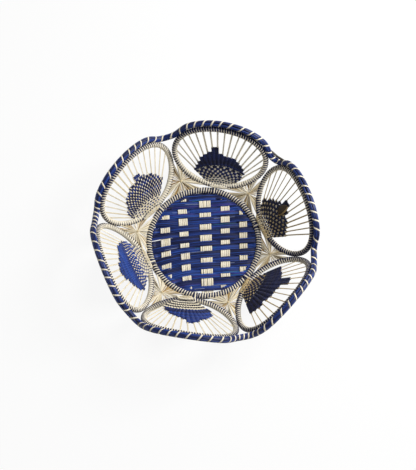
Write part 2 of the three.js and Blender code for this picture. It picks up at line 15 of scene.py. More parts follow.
import bmesh
import bpy
import numpy as np
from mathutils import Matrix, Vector


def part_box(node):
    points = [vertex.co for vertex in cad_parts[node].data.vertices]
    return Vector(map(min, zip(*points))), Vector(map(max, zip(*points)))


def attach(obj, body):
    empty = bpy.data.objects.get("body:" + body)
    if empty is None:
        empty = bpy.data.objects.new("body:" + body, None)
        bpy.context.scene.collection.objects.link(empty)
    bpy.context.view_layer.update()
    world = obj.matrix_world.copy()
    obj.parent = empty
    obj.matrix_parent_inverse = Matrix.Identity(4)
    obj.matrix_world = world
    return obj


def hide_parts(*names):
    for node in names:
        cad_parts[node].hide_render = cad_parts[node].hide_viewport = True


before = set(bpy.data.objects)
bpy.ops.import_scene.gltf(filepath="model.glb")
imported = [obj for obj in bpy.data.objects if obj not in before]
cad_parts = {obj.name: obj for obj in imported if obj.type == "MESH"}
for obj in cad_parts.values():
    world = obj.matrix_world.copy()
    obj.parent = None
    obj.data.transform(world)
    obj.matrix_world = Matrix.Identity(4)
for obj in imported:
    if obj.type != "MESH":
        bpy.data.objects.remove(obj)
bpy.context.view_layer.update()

LOG = logging.getLogger("basket")
PHOTO_WIDTH = 416
PHOTO_HEIGHT = 470
MM = 0.001
UP = np.array([0.0, 0.0, 1.0])
ROUND = 2 * np.pi
LINE_POINTS = 721
TUBE_POINTS = 900
SEED = 17
FAR = 99.0  # past the end of every spoke

Points = np.ndarray


def unit(vectors: Points) -> Points:
    """One vector, or rows of vectors, scaled to length one."""
    return vectors / np.linalg.norm(vectors, axis=-1, keepdims=True)


def gaps(points: Points) -> Points:
    """Distances between neighbouring points."""
    return np.linalg.norm(np.diff(points, axis=0), axis=1)


def steps(lengths: Points | float, ways: Points) -> Points:
    """Steps of some lengths in one direction, or in a direction each."""
    return np.asarray(lengths, float)[..., None] * ways


def level(azimuth: Points | float) -> Points:
    """Level directions at azimuths in radians."""
    return np.stack([np.cos(azimuth), np.sin(azimuth), np.zeros_like(azimuth, float)], axis=-1)


def rows_at(rows: Points, place: Points) -> Points:
    """Points or directions between neighbouring rows.

    Args:
        rows: The rows.
        place: Row numbers with their fractions, which may lie a little past either end.

    Returns:
        One point or direction for each place.
    """
    low = np.clip(np.floor(place).astype(int), 0, len(rows) - 2)
    mix = (place - low)[:, None]
    return rows[low] * (1 - mix) + rows[low + 1] * mix


def linear_colour(text: str) -> tuple[float, float, float, float]:
    """A colour for a shader socket.

    Args:
        text: An sRGB hex value such as "#d8c59a".

    Returns:
        Linear red, green, blue and an alpha of one.
    """
    channels = [int(text[i : i + 2], 16) / 255 for i in (1, 3, 5)]
    linear = [c / 12.92 if c <= 0.04045 else ((c + 0.055) / 1.055) ** 2.4 for c in channels]
    return linear[0], linear[1], linear[2], 1.0


def add_node(
    tree: bpy.types.NodeTree, kind: str, settings: dict | None = None, **links: object
) -> bpy.types.Node:
    """Adds one shader node.

    Args:
        tree: The material's or world's node tree.
        kind: The node's type name.
        settings: Node properties by name, or socket values by "socket:Name" or "socket:number".
        links: Output sockets that feed inputs, by the input's name with _ for a space, or in_ and a number.

    Returns:
        The new node.
    """
    node = tree.nodes.new(kind)
    for key, value in (settings or {}).items():
        if key.startswith("socket:"):
            name = key.split(":", 1)[1]
            node.inputs[int(name) if name.isdigit() else name].default_value = value
        else:
            setattr(node, key, value)
    for key, socket in links.items():
        name = int(key[3:]) if key.startswith("in_") else key.replace("_", " ")
        tree.links.new(socket, node.inputs[name])
    return node


def add_ramp(
    tree: bpy.types.NodeTree, place: bpy.types.NodeSocket, shades: Sequence[tuple[float, str]]
) -> bpy.types.NodeSocket:
    """Adds a colour ramp.

    Args:
        tree: The material's node tree.
        place: The socket that picks a place on the ramp.
        shades: Places on the ramp in order, at least two, each with its sRGB hex value.

    Returns:
        The socket of the colour.
    """
    ramp = add_node(tree, "ShaderNodeValToRGB", None, Fac=place)
    stops = ramp.color_ramp.elements
    for index, (position, shade) in enumerate(shades):
        stop = stops[index] if index < 2 else stops.new(position)
        stop.position = position
        stop.color = linear_colour(shade)
    return ramp.outputs["Color"]


class Slot(Enum):
    """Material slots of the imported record."""

    NATURAL = "natural_palm"
    BLUE = "blue_palm"


@dataclass(frozen=True)
class Weave:
    """Sizes of one way of weaving a fan."""

    pitch: float  # between rows
    width: float  # of a weft
    in_turn: bool = False  # whether every other weft is natural
    twined: bool = False  # whether a weft is two strands, one on each side of the spokes


class Zone(Enum):
    """Ways that a fan is woven, as they show: blue dots, light checks on blue, fine arcs, and plain blue."""

    DOTS = Weave(3.1, 1.9)
    CHECKS = Weave(3.1, 3.6)
    ARCS = Weave(2.7, 3.1, in_turn=True, twined=True)
    SOLID = Weave(1.3, 1.7, twined=True)


@dataclass(frozen=True)
class Finish:
    """A material of the scene, made when its first piece asks for it."""

    name: str

    def material(self) -> bpy.types.Material:
        """The finish as a node material.

        Returns:
            The material, the same one each time.
        """
        made = bpy.data.materials.get(self.name)
        if made is None:
            made = bpy.data.materials.new(self.name)
            made.use_nodes = True
            made.node_tree.nodes.clear()
            surface = self._surface(made.node_tree)
            add_node(made.node_tree, "ShaderNodeOutputMaterial", None, Surface=surface)
        return made

    def _surface(self, tree: bpy.types.NodeTree) -> bpy.types.NodeSocket:
        """Adds the finish's own nodes to a tree, and gives the socket of its shader."""
        raise NotImplementedError


@dataclass(frozen=True)
class PalmFinish(Finish):
    """Split iraca palm leaf, dried and twisted or left flat.

    The leaf is a satin strip with fine lengthwise fibres, so it shows thin light and dark streaks along
    each strand, and every strand took the sun or the dye a little differently.
    """

    shades: tuple[tuple[float, str], ...]
    roughness: float
    streak_dark: float
    streak_light: float
    fibre: float = 0.5  # across one streak, coarser than the real 0.1 so that it shows
    streak_length: float = 22.0
    groove: float = 0.12  # depth of the streaks
    apart: tuple[float, float, float] = (37.0, 91.0, 53.0)  # parts the streaks of strands of other tints
    patch: float = 9.0  # across one paler or darker patch
    patch_share: float = 0.35
    contrast: tuple[float, float] = (0.42, 0.92)  # values of the pattern that are darkest and lightest

    def _surface(self, tree: bpy.types.NodeTree) -> bpy.types.NodeSocket:
        """Adds streaks along the strand, patches and the strand's own tint.

        Args:
            tree: The material's node tree.

        Returns:
            The socket of the shader.
        """
        tint = add_node(tree, "ShaderNodeAttribute", {"attribute_name": "tint"}).outputs["Fac"]
        base = add_ramp(tree, tint, self.shades)
        fibre = add_node(tree, "ShaderNodeUVMap", {"uv_map": "fibre"})
        apart = add_node(
            tree, "ShaderNodeVectorMath", {"operation": "SCALE", "socket:0": self.apart}, Scale=tint
        )
        own = add_node(
            tree, "ShaderNodeMapping", {"socket:Scale": (1 / self.streak_length, 1 / self.fibre, 1.0)},
            Vector=fibre.outputs["UV"], Location=apart.outputs["Vector"],
        )
        streaks = add_node(
            tree, "ShaderNodeTexNoise", {"socket:Scale": 1.0, "socket:Detail": 2.0},
            Vector=own.outputs["Vector"],
        )
        place = add_node(tree, "ShaderNodeTexCoord")
        patches = add_node(
            tree, "ShaderNodeTexNoise", {"socket:Scale": 1 / (self.patch * MM), "socket:Detail": 1.0},
            Vector=place.outputs["Object"],
        )
        pattern = add_node(
            tree, "ShaderNodeMath", {"operation": "MULTIPLY_ADD", "socket:1": self.patch_share},
            in_0=patches.outputs["Fac"], in_2=streaks.outputs["Fac"],
        )
        values = (*self.contrast, self.streak_dark, self.streak_light)
        shade = add_node(
            tree, "ShaderNodeMapRange", {f"socket:{k}": value for k, value in enumerate(values, start=1)},
            in_0=pattern.outputs["Value"],
        )
        colour = add_node(
            tree, "ShaderNodeVectorMath", {"operation": "SCALE"}, in_0=base, Scale=shade.outputs["Result"]
        )
        bump = add_node(
            tree, "ShaderNodeBump", {"socket:Strength": 0.5, "socket:Distance": self.groove * MM},
            Height=streaks.outputs["Fac"],
        )
        return add_node(
            tree, "ShaderNodeBsdfPrincipled", {"socket:Roughness": self.roughness, "socket:IOR": 1.45},
            Base_Color=colour.outputs["Vector"], Normal=bump.outputs["Normal"],
        ).outputs["BSDF"]


@dataclass(frozen=True)
class WireFinish(Finish):
    """Soft iron wire, drawn and dull: grey metal with darker oxide patches that run into it."""

    shade: str = "#7b7873"
    oxide: str = "#544d46"
    border: tuple[float, float] = (0.38, 0.62)  # values of the pattern between oxide and clean metal
    roughness: float = 0.46
    patch: float = 6.0
    pit: float = 0.1

    def _surface(self, tree: bpy.types.NodeTree) -> bpy.types.NodeSocket:
        """Adds metal with oxide patches.

        Args:
            tree: The material's node tree.

        Returns:
            The socket of the shader.
        """
        place = add_node(tree, "ShaderNodeTexCoord")
        patches = add_node(
            tree, "ShaderNodeTexNoise", {"socket:Scale": 1 / (self.patch * MM), "socket:Detail": 4.0},
            Vector=place.outputs["Object"],
        ).outputs["Fac"]
        depth = {"socket:Strength": 0.3, "socket:Distance": self.pit * MM}
        bump = add_node(tree, "ShaderNodeBump", depth, Height=patches)
        return add_node(
            tree, "ShaderNodeBsdfPrincipled", {"socket:Metallic": 1.0, "socket:Roughness": self.roughness},
            Base_Color=add_ramp(tree, patches, tuple(zip(self.border, (self.oxide, self.shade)))),
            Normal=bump.outputs["Normal"],
        ).outputs["BSDF"]


@dataclass(frozen=True)
class PaperFinish(Finish):
    """White paper, bright of its own where it is seen, so that it shows little more than a soft shadow."""

    shade: str = "#f4f4f2"
    glow: float = 0.9

    def _surface(self, tree: bpy.types.NodeTree) -> bpy.types.NodeSocket:
        """Adds paper that glows where it is seen straight, by reflection or through another thing.

        Args:
            tree: The material's node tree.

        Returns:
            The socket of the shader.
        """
        path = add_node(tree, "ShaderNodeLightPath")
        seen = path.outputs["Is Camera Ray"]
        for ray in ("Is Glossy Ray", "Is Transmission Ray"):
            either = add_node(
                tree, "ShaderNodeMath", {"operation": "MAXIMUM"}, in_0=seen, in_1=path.outputs[ray]
            )
            seen = either.outputs["Value"]
        share = add_node(tree, "ShaderNodeMath", {"operation": "MULTIPLY", "socket:1": self.glow}, in_0=seen)
        paper = add_node(tree, "ShaderNodeBsdfDiffuse", {"socket:Color": linear_colour(self.shade)})
        light = add_node(
            tree, "ShaderNodeEmission", {"socket:Color": linear_colour("#ffffff"), "socket:Strength": 1.0}
        )
        return add_node(
            tree, "ShaderNodeMixShader", None, Fac=share.outputs["Value"],
            in_1=paper.outputs["BSDF"], in_2=light.outputs["Emission"],
        ).outputs["Shader"]


NATURAL_PALM = PalmFinish(
    "sun_dried_palm",
    ((0.0, "#ab8850"), (0.35, "#d8c08e"), (0.7, "#ecdfbf"), (1.0, "#f7efdc")),
    roughness=0.58, streak_dark=0.72, streak_light=1.08,
)
# Navy to royal blue, then the odd strips: purple, teal and pale.
BLUE_PALM = PalmFinish(
    "blue_dyed_palm",
    (
        (0.0, "#090d2c"), (0.3, "#112058"), (0.6, "#193a88"), (0.78, "#224a9e"), (0.85, "#2c2a74"),
        (0.92, "#1b6678"), (1.0, "#8f9aba"),
    ),
    roughness=0.48, streak_dark=0.42, streak_light=1.35,
)
# Natural palm painted brown: painted shade on the back of a leaf end that curls up away from the key lamp.
SHADED_PALM = PalmFinish(
    "brown_dried_palm", ((0.0, "#33281a"), (0.5, "#5c4728"), (1.0, "#b79a63")),
    roughness=0.55, streak_dark=0.6, streak_light=1.25,
)
IRON_WIRE = WireFinish("drawn_iron_wire")
WHITE_PAPER = PaperFinish("white_paper_sweep")


@dataclass
class Strand:
    """One strip of palm: where its middle runs, which way its face looks, and its section along it."""

    middle: Points
    facing: Points  # one direction, or one at each point
    width: Points | float
    thickness: float
    tint: float
    sides: int = 6

    def skin(self) -> Points:
        """Its surface.

        Returns:
            Points, one row along the strand for each place round its section.
        """
        along = np.gradient(self.middle, axis=0)
        across = unit(np.cross(self.facing, along))
        proud = unit(np.cross(along, across))
        turn = np.linspace(0, ROUND, self.sides + 1)[:, None, None]
        half_width = np.reshape(self.width, (-1, 1)) / 2
        return self.middle + np.cos(turn) * half_width * across + np.sin(turn) * self.thickness / 2 * proud

    def size(self) -> tuple[float, float]:
        """Its length, and the way round its section."""
        return float(gaps(self.middle).sum()), 2.0 * float(np.mean(self.width) + self.thickness)


@dataclass
class StrandPiece:
    """A piece of the basket made of palm strands that share one finish."""

    name: str
    finish: PalmFinish
    slot: Slot
    nodes: tuple[str, ...]
    strands: list[Strand] = field(default_factory=list)

    def build(self) -> None:
        """Makes the piece's object, dressed and riding on the basket, with its place in its mesh."""
        mesh = bpy.data.meshes.new(self.name)
        sheets = bmesh.new()
        sheets.loops.layers.uv.new("fibre")
        for strand in self.strands:
            bmesh.ops.create_grid(
                sheets, x_segments=len(strand.middle) - 1, y_segments=strand.sides, size=0.5, calc_uvs=True
            )
        sheets.to_mesh(mesh)
        sheets.free()
        skins = [strand.skin().reshape(-1, 3) for strand in self.strands]
        mesh.vertices.foreach_set("co", (np.concatenate(skins) * MM).ravel())
        self._lay_fibres(mesh, [len(skin) for skin in skins])
        self._close(mesh)
        mesh.materials.append(self.finish.material())
        piece = bpy.data.objects.new(self.name, mesh)
        bpy.context.scene.collection.objects.link(piece)
        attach(piece, "root")
        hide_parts(*self.nodes)
        LOG.info("%s: %d strands, %d faces", self.name, len(self.strands), len(mesh.polygons))

    def _lay_fibres(self, mesh: bpy.types.Mesh, counts: Sequence[int]) -> None:
        """Gives each strand its own tint, and a UV map in millimetres along and round it.

        Args:
            mesh: The rolled-up strands.
            counts: How many points each strand has.
        """
        tints = np.repeat([strand.tint for strand in self.strands], counts)
        mesh.attributes.new("tint", "FLOAT", "POINT").data.foreach_set("value", tints)
        layer = mesh.uv_layers["fibre"].data
        flat = np.empty(2 * len(layer), np.float32)
        layer.foreach_get("uv", flat)
        sizes = [np.tile(s.size(), 4 * s.sides * (len(s.middle) - 1)) for s in self.strands]
        layer.foreach_set("uv", flat * np.concatenate(sizes).astype(np.float32))

    @staticmethod
    def _close(mesh: bpy.types.Mesh) -> None:
        """Welds each strand's long seam and caps its ends.

        Args:
            mesh: The rolled-up strands.
        """
        body = bmesh.new()
        body.from_mesh(mesh)
        bmesh.ops.remove_doubles(body, verts=body.verts, dist=1e-7)
        bmesh.ops.holes_fill(body, edges=[e for e in body.edges if e.is_boundary], sides=0)
        bmesh.ops.recalc_face_normals(body, faces=body.faces)
        for face in body.faces:
            face.smooth = True
        body.to_mesh(mesh)
        body.free()


def blue_piece(name: str, node: str) -> StrandPiece:
    """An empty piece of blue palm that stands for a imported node."""
    return StrandPiece(name, BLUE_PALM, Slot.BLUE, (node,))


def natural_piece(name: str, node: str) -> StrandPiece:
    """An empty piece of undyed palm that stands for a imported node."""
    return StrandPiece(name, NATURAL_PALM, Slot.NATURAL, (node,))


@dataclass
class TubeLine:
    """Closed centreline of a wrapped wire in even steps, with the two directions across it."""

    centre: Points
    outward: Points
    upward: Points

    @classmethod
    def evenly(cls, centre: Points, outward: Points, upward: Points, count: int = TUBE_POINTS) -> "TubeLine":
        """A line with evenly spaced points.

        Args:
            centre: Points round the line, the last one on the first.
            outward: Directions across it at those points.
            upward: The other directions across it.
            count: Steps of the new line.

        Returns:
            The line, stepped evenly by length.
        """
        run = np.concatenate([[0.0], np.cumsum(gaps(centre))])
        place = np.interp(np.linspace(0, run[-1], count + 1), run, range(len(run)))
        return cls(rows_at(centre, place), rows_at(outward, place), rows_at(upward, place))

    def length(self) -> float:
        """Its length."""
        return float(gaps(self.centre).sum())

    def wind(
        self, angles: Points, share: Points, radius: Points | float, width: Points | float, thickness: float,
        tint: float,
    ) -> Strand:
        """A strand wound round the line.

        Args:
            angles: Angle round the line at each place, from its outward direction towards its upward one.
            share: Share of the way along the line at each place.
            radius: Distance of the strand's middle from the line.
            width: Width of the strand.
            thickness: Thickness of the strand.
            tint: Tint of the strand.

        Returns:
            The wound strand.
        """
        place = (share % 1.0) * (len(self.centre) - 1)
        outward, upward = unit(rows_at(self.outward, place)), unit(rows_at(self.upward, place))
        radial = steps(np.cos(angles), outward) + steps(np.sin(angles), upward)
        middle = rows_at(self.centre, place) + steps(radius, radial)
        return Strand(middle, radial, width, thickness, tint)

    def core(self, diameter: float, tint: float) -> Strand:
        """A plain round filling along the whole line, as one thick strand."""
        return Strand(self.centre, self.upward, diameter, diameter, tint, sides=10)


@dataclass
class RingShape:
    """The base ring: a circle of wrapped wire that stands on the table."""

    radius: float = 72.0
    tube: float = 8.0
    sides: int = 8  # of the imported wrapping
    fit: float = 0.3

    def __post_init__(self) -> None:
        """Takes the ring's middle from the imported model."""
        low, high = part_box("base_ring_wrap")
        self.middle = np.array([(low.x + high.x) / 2, (low.y + high.y) / 2, 0.0]) / MM
        self.height = self.tube / 2

    def point(self, azimuth: Points | float) -> Points:
        """Points of its centreline at azimuths in radians."""
        return self.middle + self.radius * level(azimuth) + self.height * UP

    def line(self) -> TubeLine:
        """Its centreline, with directions outward and up."""
        azimuth = np.linspace(0, ROUND, LINE_POINTS)
        return TubeLine.evenly(self.point(azimuth), level(azimuth), np.tile(UP, (LINE_POINTS, 1)))


@dataclass
class PetalShape:
    """One petal: an egg-shaped hoop on a surface that leans out and steepens towards its crown."""

    number: int
    start: float
    end: float
    slant: float
    foot_slope: float
    crown_slope: float
    fan_shift: float
    fan_aim: float
    fan_half_angle: float
    ring: RingShape
    egg: float = 0.06
    hoop_tube: float = 5.8
    foot_lift: float = 30.0
    side: int = 80  # degrees up and down the hoop where its width is fitted
    fan_sink: float = 2.5
    fan_step: float = 0.1  # along a spoke, when its ends are looked for
    turn_step: float = 0.01  # radians along the hoop, to find its direction

    def __post_init__(self) -> None:
        """Works out the petal's directions and how wide its hoop can be."""
        self.name = f"petal_{self.number}"
        axis = math.radians((self.start + self.end) / 2)
        self.spread = math.radians((self.end - self.start) / 2)
        self.out = level(axis)
        self.ahead = level(axis + math.pi / 2)
        self.foot_angle = math.radians(self.foot_slope)
        self.bend = (math.radians(self.crown_slope) - self.foot_angle) / self.slant
        corner = self.ring.tube / 2 / math.cos(math.pi / self.ring.sides)
        self.reach = corner + self.ring.fit + self.hoop_tube / 2
        self.foot_radius = self.ring.radius + self.reach * math.cos(math.radians(self.foot_lift))
        self.foot_height = self.ring.height + self.reach * math.sin(math.radians(self.foot_lift))
        self.half = 1.0
        turn = np.radians(np.arange(-self.side, self.side + 1))
        wide, tall = self.oval(turn)
        room = self.slant_at(tall)[1] * math.tan(self.spread)
        halves = (room - (self.hoop_tube + self.ring.fit) / 2 / math.cos(self.spread)) / wide
        self.half = float(halves.min())
        self.meeting = float(turn[halves.argmin()])

    def oval(self, turn: Points | float) -> tuple[Points, Points]:
        """Places on the hoop.

        Args:
            turn: Angles round the hoop in radians, zero at its side ahead, a quarter turn at its crown.

        Returns:
            Distance to the side of the petal's middle line, and up along it from the foot.
        """
        wide = self.half * np.cos(turn) * (1 + self.egg * np.sin(turn))
        return wide, self.slant / 2 * (1 + np.sin(turn))

    def slant_at(self, tall: Points | float) -> tuple[Points, Points, Points]:
        """The petal's middle line.

        Args:
            tall: Lengths up along it from the foot of the hoop.

        Returns:
            Slope in radians, distance from the ring's axis, and height.
        """
        slope = self.foot_angle + self.bend * tall
        radius = self.foot_radius + (np.sin(slope) - math.sin(self.foot_angle)) / self.bend
        height = self.foot_height + (math.cos(self.foot_angle) - np.cos(slope)) / self.bend
        return slope, radius, height

    def point(self, wide: Points | float, tall: Points | float) -> Points:
        """Points of the petal's surface at places (wide, tall)."""
        _, radius, height = self.slant_at(tall)
        return self.ring.middle + steps(radius, self.out) + steps(wide, self.ahead) + steps(height, UP)

    def directions(self, tall: Points | float) -> tuple[Points, Points]:
        """Directions on the petal's middle line.

        Args:
            tall: Lengths up along it from the foot of the hoop.

        Returns:
            Directions up the slant, and of the face that looks into the basket.
        """
        slope = self.slant_at(tall)[0]
        cos, sin = np.cos(slope), np.sin(slope)
        return steps(cos, self.out) + steps(sin, UP), steps(cos, UP) - steps(sin, self.out)

    def edge_frame(self, turn: Points | float) -> tuple[Points, Points, Points]:
        """The hoop's centreline.

        Args:
            turn: Angles round the hoop in radians.

        Returns:
            Points, directions away from the petal's middle, and face directions.
        """
        wide, tall = self.oval(turn)
        next_wide, next_tall = self.oval(turn + self.turn_step)
        up, face = self.directions(tall)
        away = steps(next_tall - tall, self.ahead) - steps(next_wide - wide, up)
        return self.point(wide, tall), unit(away), face

    def line(self, inset: float) -> TubeLine:
        """The hoop's centreline from its foot, round past its side ahead, and back to its foot.

        Args:
            inset: How far inside the wire it runs.

        Returns:
            The line, with directions away from the petal's middle and of its face.
        """
        points, away, face = self.edge_frame(np.radians(np.linspace(-90, 270, LINE_POINTS)))
        return TubeLine.evenly(points - inset * away, away, face)

    def _below(self, wide: Points | float) -> Points:
        """Heights on the petal of points that lie a little below the hoop's foot."""
        return self.slant / 2 * (1 - np.sqrt(1 - (wide / self.half) ** 2)) - self.fan_sink

    def _inside(self, wide: Points, tall: Points) -> Points:
        """Whether places on the petal are inside the hoop's centreline."""
        rise = np.clip(2 * tall / self.slant - 1, -1, 1)
        return (np.abs(rise) < 1) & (np.abs(wide) < self.oval(np.arcsin(rise))[0])

    def fan(self, spokes: int, spread: tuple[float, float]) -> "FanLayout":
        """The straight strands of the fan, from the hoop's foot to its far side.

        Args:
            spokes: How many there are.
            spread: How far the feet of the first and the last one stand beside the middle of the fan's foot.

        Returns:
            Where they run.
        """
        foot = np.array([self.fan_shift, self._below(self.fan_shift)])
        lean = np.linspace(self.fan_half_angle, -self.fan_half_angle, spokes)
        aim = np.radians(self.fan_aim + lean)
        aims = np.stack([np.sin(aim), np.cos(aim)])
        run = np.arange(0, 2 * self.slant, self.fan_step)[:, None]
        inside = self._inside(*(foot[:, None, None] + run * aims[:, None]))
        leave = run[len(run) - 1 - inside[::-1].argmax(axis=0), 0]
        far = foot[:, None] + leave * aims
        near_wide = self.fan_shift + np.linspace(*spread, spokes)
        near = np.stack([near_wide, self._below(near_wide)])
        share = run / np.hypot(*(far - near))
        inside = self._inside(*(near[:, None] + share * (far - near)[:, None]))
        feet, ends = self.point(*near), self.point(*far)
        reach = np.linalg.norm(ends - feet, axis=1)
        ways = (ends - feet) / reach[:, None]
        around = np.concatenate([ways[:1], ways, ways[-1:]])
        faces = unit(np.cross(around[2:] - around[:-2], ways))
        faces[faces @ self.directions(foot[1])[1] < 0] *= -1
        ahead = np.sum((feet - self.point(*foot)) * ways, axis=1)
        return FanLayout(feet, ways, faces, run[inside.argmax(axis=0), 0], reach, lean, ahead)


@dataclass
class FanLayout:
    """Where the strands of a fan run: one row or value for each of them."""

    feet: Points
    ways: Points
    faces: Points
    enter: Points  # how far from its foot a strand is inside the hoop
    reach: Points
    lean: Points  # degrees from the fan's middle
    ahead: Points  # how far the strand's foot is on from the middle of the fan's foot

    def spacing(self, run: Points | float) -> Points:
        """Mean distance between neighbouring strands, at distances from their feet."""
        return gaps(self.feet).mean() + run * gaps(self.ways).mean()


@dataclass
class BaseRing:
    """The base ring's wrapping: a blue and a natural strand wound side by side."""

    shape: RingShape
    pair_pitch: float = 3.4
    turn_points: int = 16
    strand_radius: float = 3.62
    natural_width: float = 1.55
    natural_tint: float = 0.9
    blue_width: float = 2.0
    blue_tint: float = 0.12
    thickness: float = 0.8
    core: float = 6.7

    def build(self) -> None:
        """Makes the two wound strands and the filling under them."""
        line = self.shape.line()
        turns = round(line.length() / self.pair_pitch)
        share = np.linspace(0, 1, turns * self.turn_points + 1)
        angles = ROUND * turns * share
        blue = blue_piece("base_ring_blue_strand", "base_ring_wrap")
        blue.strands = [
            line.core(self.core, 0.0),
            line.wind(
                angles + np.pi, share, self.strand_radius, self.blue_width, self.thickness, self.blue_tint
            ),
        ]
        blue.build()
        natural = natural_piece("base_ring_natural_strand", "base_ring_wrap")
        natural.strands = [
            line.wind(
                angles, share, self.strand_radius, self.natural_width, self.thickness, self.natural_tint
            )
        ]
        natural.build()


@dataclass
class WovenMat:
    """The plain-woven base: natural warps along Y and blue wefts across, each a bundle of fine strips."""

    ring: RingShape
    dice: random.Random
    reach: float = 69.6
    wave: float = 0.75
    strip_thickness: float = 0.45
    warp_points: int = 190
    warp_places: tuple[float, ...] = (-52.2, -28.8, 1.1, 27.7, 51.3)
    warp_widths: tuple[float, ...] = (12.4, 11.8, 15.1, 11.8, 10.4)
    warp_strips: tuple[int, ...] = (5, 5, 6, 5, 4)
    warp_leans: tuple[float, ...] = (0.048, 0.071, 0.034, 0.0, 0.0)
    lean_from: float = 45.0
    warp_fill: float = 0.97  # share of its room that a strip takes
    warp_stray: float = 0.1
    warp_drift: float = 0.004
    warp_tints: tuple[float, float] = (0.75, 1.0)
    tuck: tuple[float, float] = (63.0, 66.0)  # from the middle, where the warps' ends go under
    tuck_lift: float = 0.3  # height of the wefts that cover them
    weft_points: int = 130
    weft_pitch: float = 7.5
    weft_strips: int = 6  # in a row as high as the pitch
    weft_fills: tuple[float, float] = (1.05, 1.4)  # width of a strip, as a share of its room
    weft_stray: float = 0.3
    weft_tilt: float = 0.016
    weft_lift: float = 0.12
    weft_tints: tuple[float, float] = (0.12, 0.78)
    purple: float = 0.85  # tint of a few strips
    purple_share: float = 0.06
    backing_drop: float = 0.3  # of the broad dark strip under the fine ones, whose near-black shows in their gaps as painted shade
    backing_margin: float = 1.6
    backing_tint: float = 0.08
    odd_share: float = 0.6  # share of the rows that hold one short teal or pale strip
    odd_tints: tuple[float, float] = (0.92, 1.0)
    odd_starts: tuple[float, float] = (-60.0, 30.0)
    odd_lengths: tuple[float, float] = (12.0, 34.0)
    odd_tilt: float = 0.03
    odd_width: float = 0.7
    odd_lift: float = 0.14
    border: float = 80.0  # past the ends of every weft
    skew: float = 4.0  # degrees that the rows climb to the right
    sag: float = 0.0042  # droop of the rows, by the square of the distance
    sag_from: float = -8.0  # where it begins
    sag_rows: tuple[float, float] = (-50.0, 34.0)  # distances of rows that droop most and not at all
    row_edges: tuple[float, ...] = (
        -65.0, -58.8, -48.4, -43.0, -36.2, -27.6, -21.2, -12.0, -5.0, 1.2, 10.2, 17.0, 24.6, 34.4, 40.7,
        47.5, 57.2, 67.6,
    )
    # Rows of each weft: one that doubles back at the ring takes two.
    weft_rows: tuple[tuple[int, ...], ...] = (
        (0,), (1,), (2,), (3,), (4,), (5,), (6, 7), (8, 9), (10, 11), (12,), (13,), (14,), (15,), (16,),
    )

    def build(self) -> None:
        """Makes every warp and weft."""
        self.climb = math.tan(math.radians(self.skew))
        for column in range(len(self.warp_places)):
            self._build_warp(column)
        for number, rows in enumerate(self.weft_rows, start=1):
            self._build_weft(number, rows)

    def _row_at(self, line: Points) -> Points:
        """Row numbers, with their fractions, at distances from the mat's middle."""
        edges = np.array(self.row_edges)
        return np.interp(line, (edges[1:] + edges[:-1]) / 2, range(len(edges) - 1))

    def _bow(self, x: Points, line: Points | float) -> Points:
        """How far the rows near a line droop towards the near left of the mat."""
        return -self.sag * np.clip(self.sag_from - x, 0, None) ** 2 * np.interp(line, self.sag_rows, (1, 0))

    def _tucked(self, x: Points, y: Points) -> Points:
        """How far the ends of the warps are tucked under the wefts, from 0 to 1, at points of the mat."""
        return np.interp(np.hypot(x, y), self.tuck, (0, 1))

    def _build_warp(self, column: int) -> None:
        """Makes one warp of several strips that pass over and under the wefts together.

        Args:
            column: Its number from the left, from zero.
        """
        piece = natural_piece(f"mat_warp_{column + 1}", f"base_warp_{column + 1}")
        count = self.warp_strips[column]
        pitch = self.warp_widths[column] / count
        for k in range(count):
            start = self.warp_places[column] + (k - (count - 1) / 2) * pitch
            start += self.dice.uniform(-self.warp_stray, self.warp_stray)
            half = math.sqrt(self.reach**2 - start**2)
            y = np.linspace(-half, half, self.warp_points)
            drift = self.dice.uniform(-self.warp_drift, self.warp_drift)
            x = start + self.warp_leans[column] * (self.lean_from - y) + drift * y
            line = y - x * self.climb - self._bow(x, y)
            lift = -self.wave * np.cos(np.pi * (self._row_at(line) + column))
            lift = lift - self._tucked(x, y) * (self.wave + lift)
            middle = np.stack([x, y, lift], axis=1)
            self._add_strip(piece, middle, pitch * self.warp_fill, self.dice.uniform(*self.warp_tints))
        piece.build()

    def _blue_tint(self) -> float:
        """A blue for one strip: mostly royal to navy, now and then purple."""
        is_purple = self.dice.random() < self.purple_share
        return self.purple if is_purple else self.dice.uniform(*self.weft_tints)

    def _build_weft(self, number: int, rows: Sequence[int]) -> None:
        """Makes one weft, a bundle of fine strips over a broad dark one whose near-black is painted shade in
        their gaps, in one or two rows.

        Args:
            number: Its number, from one.
            rows: Its rows.
        """
        piece = blue_piece(f"mat_weft_{number}", f"base_weft_{number}")
        dice = self.dice
        for row in rows:
            low, high = self.row_edges[row : row + 2]
            count = round((high - low) * self.weft_strips / self.weft_pitch)
            lines = low + (np.arange(count) + 0.5) * (high - low) / count
            broad = float(np.ptp(lines)) + self.backing_margin
            self._add_weft_strip(
                piece, row, float(lines.mean()), 0.0, -self.backing_drop, broad, self.backing_tint
            )
            for line in lines:
                width = self.weft_pitch / self.weft_strips * dice.uniform(*self.weft_fills)
                lift = dice.uniform(-self.weft_lift, self.weft_lift)
                tilt = dice.uniform(-self.weft_tilt, self.weft_tilt)
                line += dice.uniform(-self.weft_stray, self.weft_stray)
                self._add_weft_strip(piece, row, line, tilt, lift, width, self._blue_tint())
            if dice.random() < self.odd_share:
                start = dice.uniform(*self.odd_starts)
                line = dice.choice(list(lines))
                tilt = dice.uniform(-self.odd_tilt, self.odd_tilt)
                tint = dice.choice(self.odd_tints)
                span = (start, start + dice.uniform(*self.odd_lengths))
                self._add_weft_strip(piece, row, line, tilt, self.odd_lift, self.odd_width, tint, span)
        piece.build()

